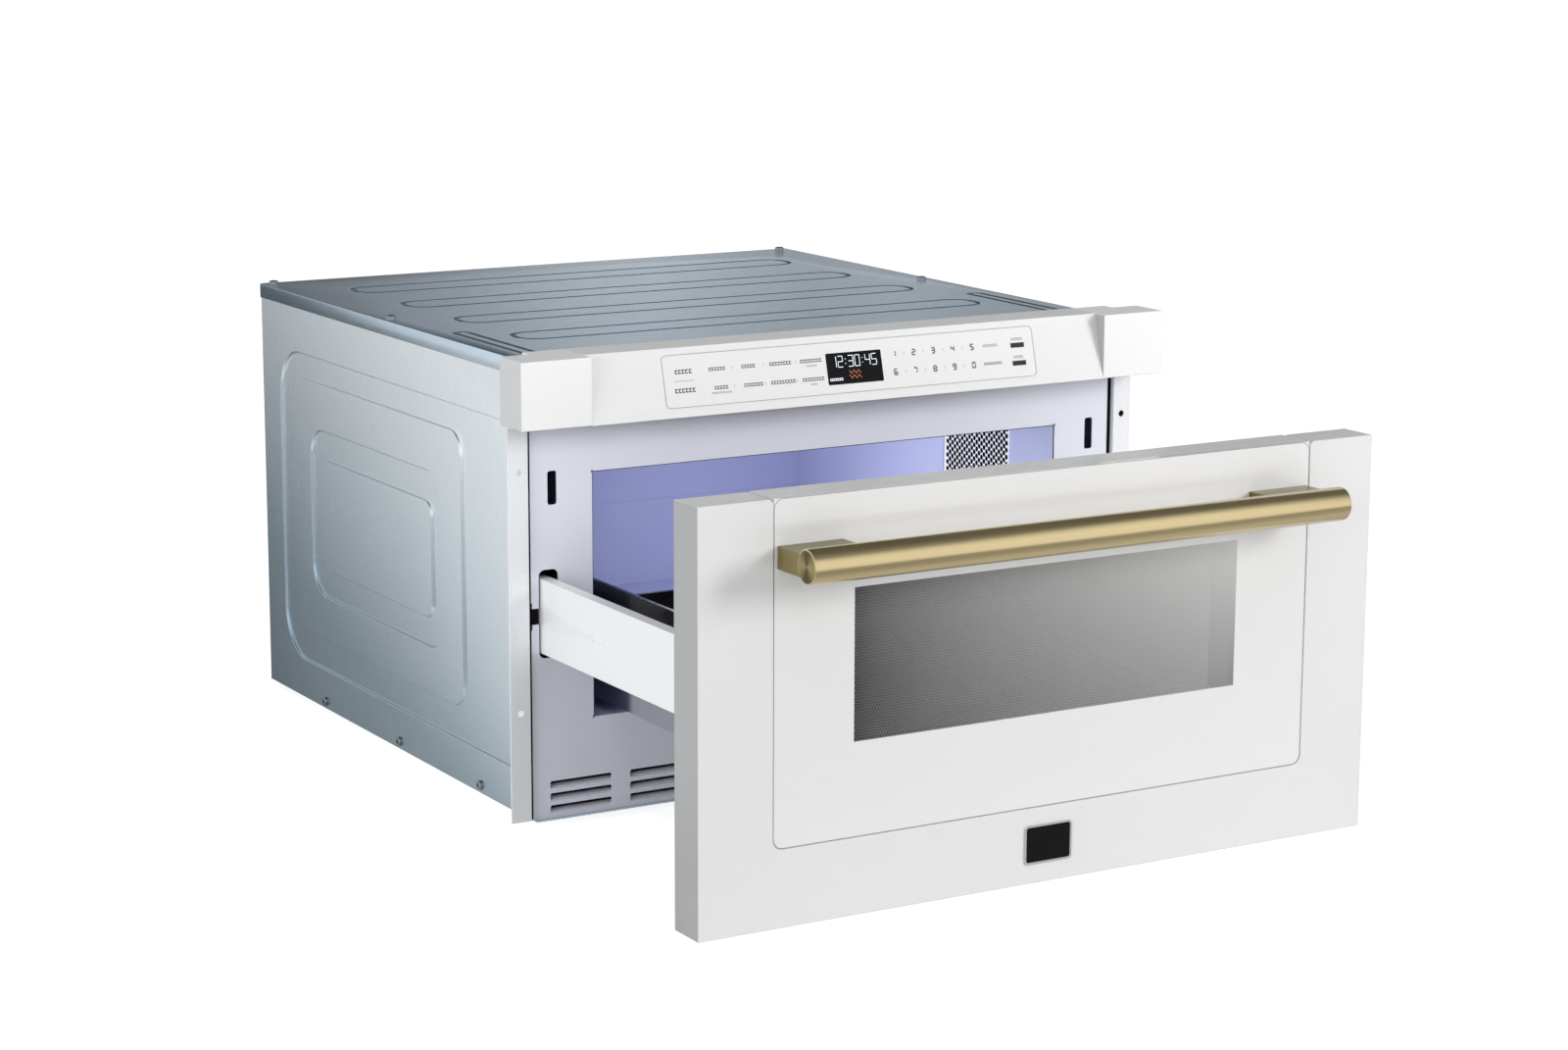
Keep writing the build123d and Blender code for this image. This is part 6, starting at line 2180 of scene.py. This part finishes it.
@dataclass
class Studio:
    """A pale floor, soft lamps, the room that metal mirrors, and the camera."""

    camera_at: tuple[float, float, float] = (-1.4605, -2.4089, 0.7798)
    azimuth: float = -30.397
    elevation: float = 11.349
    roll: float = 0.184
    lens: float = 80.0
    sensor: float = 36.0
    far: float = 200.0
    floor_gap: float = 0.3 * MM
    floor_half: float = 30.0
    floor_colour: Colour = grey(0.80)
    floor_glow: float = 0.74
    # Brightness of the mirrored floor behind, by its distance to the left of a slanted line.
    floor_slant: float = 0.38
    floor_reach: Span = (0.0, 1.4)
    floor_behind: Levels = (
        (0.0, 0.10),
        (0.05, 0.22),
        (0.086, 0.34),
        (0.12, 0.43),
        (0.155, 0.52),
        (0.18, 0.61),
        (0.215, 0.88),
        (0.26, 0.97),
        (0.335, 1.10),
        (0.40, 0.70),
        (0.52, 0.35),
        (0.70, 0.95),
        (1.0, 1.0),
    )
    # Brightness of the mirrored floor in front, by its distance from the front.
    floor_depth: Span = (-2.0, 0.0)
    floor_front: Levels = (
        (0.0, 1.1),
        (0.25, 0.95),
        (0.55, 0.30),
        (0.69, 0.34),
        (0.79, 0.62),
        (0.95, 0.42),
        (1.0, 0.40),
    )
    # Where the mirrored floor goes over from its front part to the one behind, along Y.
    floor_turn: Span = (-0.1, 0.1)
    # Brightness of the mirrored room by the height of the direction.
    room_front: Levels = (
        (0.0, 1.1),
        (0.42, 1.12),
        (0.62, 0.86),
        (0.74, 0.5),
        (0.81, 0.27),
        (0.87, 0.2),
        (1.0, 0.12),
    )
    room_behind: Levels = ((0.0, 0.9), (0.15, 1.0), (0.17, 0.75), (0.195, 0.22), (0.5, 0.12), (1.0, 0.14))
    # Brightness of the room behind by how far to the right the direction leads.
    room_across: Span = (0.30, 0.60)
    room_sideways: Levels = (
        (0.0, 0.32),
        (0.20, 0.20),
        (0.267, 0.24),
        (0.317, 0.32),
        (0.40, 0.46),
        (0.50, 0.66),
        (0.567, 0.70),
        (0.633, 0.58),
        (0.70, 0.50),
        (0.767, 0.57),
        (0.833, 0.48),
        (0.90, 0.42),
        (1.0, 0.50),
    )
    # Brightness of the room that lights the object, and of its shaded part behind.
    room_light: Levels = ((0.0, 0.47), (0.25, 0.60), (0.6, 0.48), (1.0, 0.30))
    room_shade: Levels = ((0.0, 0.15), (0.2, 0.38), (1.0, 0.15))
    # Where the room goes over to its part behind, and to the rear right one, by the direction.
    behind_from: Span = (-0.2, 0.35)
    rear_from: Span = (-0.45, 0.0)
    right_from: Span = (-0.35, 0.0)
    cool: Colour = (0.98, 0.99, 1.0)
    lamps: tuple[Lamp, ...] = (
        Lamp("key", 40, 18, 3.6, (1.2, 1.2), 65.0, (1.0, 0.99, 0.98)),
        Lamp("left softbox", -74, 10, 3.2, (2.6, 1.8), 46.0, (0.97, 0.99, 1.0)),
        Lamp("upper softbox", -8, 62, 3.4, (2.8, 1.6), 15.0),
        Lamp("oven lamp", -88, 12, 0.26, (0.10, 0.05), 0.75, (0.96, 0.97, 0.96), (0.2, 0.17, 0.2)),
    )

    def build(self) -> None:
        """Make the camera, the floor, the lamps and the world."""
        self.camera()
        self.floor()
        for lamp in self.lamps:
            lamp.hang()
        self.world()
        bpy.context.scene.view_settings.view_transform = "Standard"

    def camera(self) -> None:
        """Stand the camera where the picture was taken from."""
        data = bpy.data.cameras.new("camera")
        data.lens = self.lens
        data.sensor_width = self.sensor
        data.sensor_fit = "HORIZONTAL"
        data.clip_end = self.far
        made = linked("camera", data)
        turn, roll = math.radians(self.azimuth), math.radians(self.roll)
        back = outward(self.azimuth, self.elevation)
        right = Vector((math.cos(turn), math.sin(turn), 0))
        up = back.cross(right)
        x_axis = right * math.cos(roll) + up * math.sin(roll)
        y_axis = up * math.cos(roll) - right * math.sin(roll)
        axes = Matrix((x_axis, y_axis, back)).transposed().to_4x4()
        made.matrix_world = Matrix.Translation(self.camera_at) @ axes
        bpy.context.scene.camera = made

    def floor(self) -> None:
        """Lay the floor under the lowest point of the object."""
        low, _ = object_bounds()
        mesh = bmesh.new()
        place = Matrix.Translation((0, 0, low.z - self.floor_gap))
        bmesh.ops.create_grid(mesh, x_segments=1, y_segments=1, size=self.floor_half, matrix=place)
        data = bpy.data.meshes.new("floor")
        mesh.to_mesh(data)
        mesh.free()
        data.materials.append(self.floor_material())
        made = linked("floor", data)
        made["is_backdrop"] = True

    def floor_material(self) -> bpy.types.Material:
        """A matt floor that looks near white, and that metal mirrors in slow gradients."""
        shader = Shader("pale floor")
        matt = shader.node("BsdfDiffuse", Color=(*self.floor_colour, 1)).outputs["BSDF"]
        glow = shader.node("Emission", Color=(*WHITE, 1), Strength=self.floor_glow).outputs["Emission"]
        both = shader.node("AddShader")
        for socket, surface in zip(both.inputs, (matt, glow)):
            shader.feed(socket, surface)
        x, y, _ = shader.axes(shader.place)
        leftward = shader.sum("MULTIPLY", x, -1.0)
        slant = shader.sum("ADD", leftward, shader.sum("MULTIPLY", y, -self.floor_slant))
        behind = shader.ramp(shader.span(slant, self.floor_reach), greys(self.floor_behind))
        front = shader.ramp(shader.span(y, self.floor_depth), greys(self.floor_front))
        pattern = shader.blend(shader.span(y, self.floor_turn), front, behind)
        mirrored = shader.node("Emission", Color=pattern, Strength=1.0).outputs["Emission"]
        shown = shader.mixed(shader.ray("Camera", "Transmission"), matt, both.outputs["Shader"])
        shader.close(shader.mixed(shader.ray("Glossy"), shown, mirrored))
        return shader.material

    def world(self) -> None:
        """Light the room, and give it the gradients that metal mirrors."""
        world = bpy.data.worlds.new("studio")
        bpy.context.scene.world = world
        world.use_nodes = True
        room = Nodes(world.node_tree, "OutputWorld")
        x, y, z = room.axes(room.node("TexCoord").outputs["Generated"])
        behind = room.span(y, self.behind_from)
        rear_right = room.sum("MULTIPLY", room.span(y, self.rear_from), room.span(x, self.right_from))
        sideways = room.ramp(room.span(x, self.room_across), greys(self.room_sideways))
        lit, shaded, front = (
            room.ramp(z, greys(levels, self.cool))
            for levels in (self.room_light, self.room_shade, self.room_front)
        )
        rear = room.blend(sideways, BLACK, room.ramp(z, greys(self.room_behind)))
        light, mirrored = room.blend(behind, lit, shaded), room.blend(rear_right, front, rear)
        seen = room.blend(room.ray("Glossy"), light, mirrored)
        shown = room.blend(room.ray("Camera", "Transmission"), seen, WHITE)
        room.close(room.node("Background", Color=shown, Strength=1.0).outputs["Background"])


def main() -> None:
    """Build the drawer's looks round the frame."""
    logging.basicConfig(level=logging.INFO, format="%(message)s")
    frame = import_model()
    Studio().build()
    shop = Workshop(frame)
    for section in (Casing, FrontAndOven, ControlPanel, DrawerFront, Handle, TrayAndSlides, Insides):
        section(shop).build()
        log.info("section %s done", section.__name__)


if __name__ == "__main__":
    main()
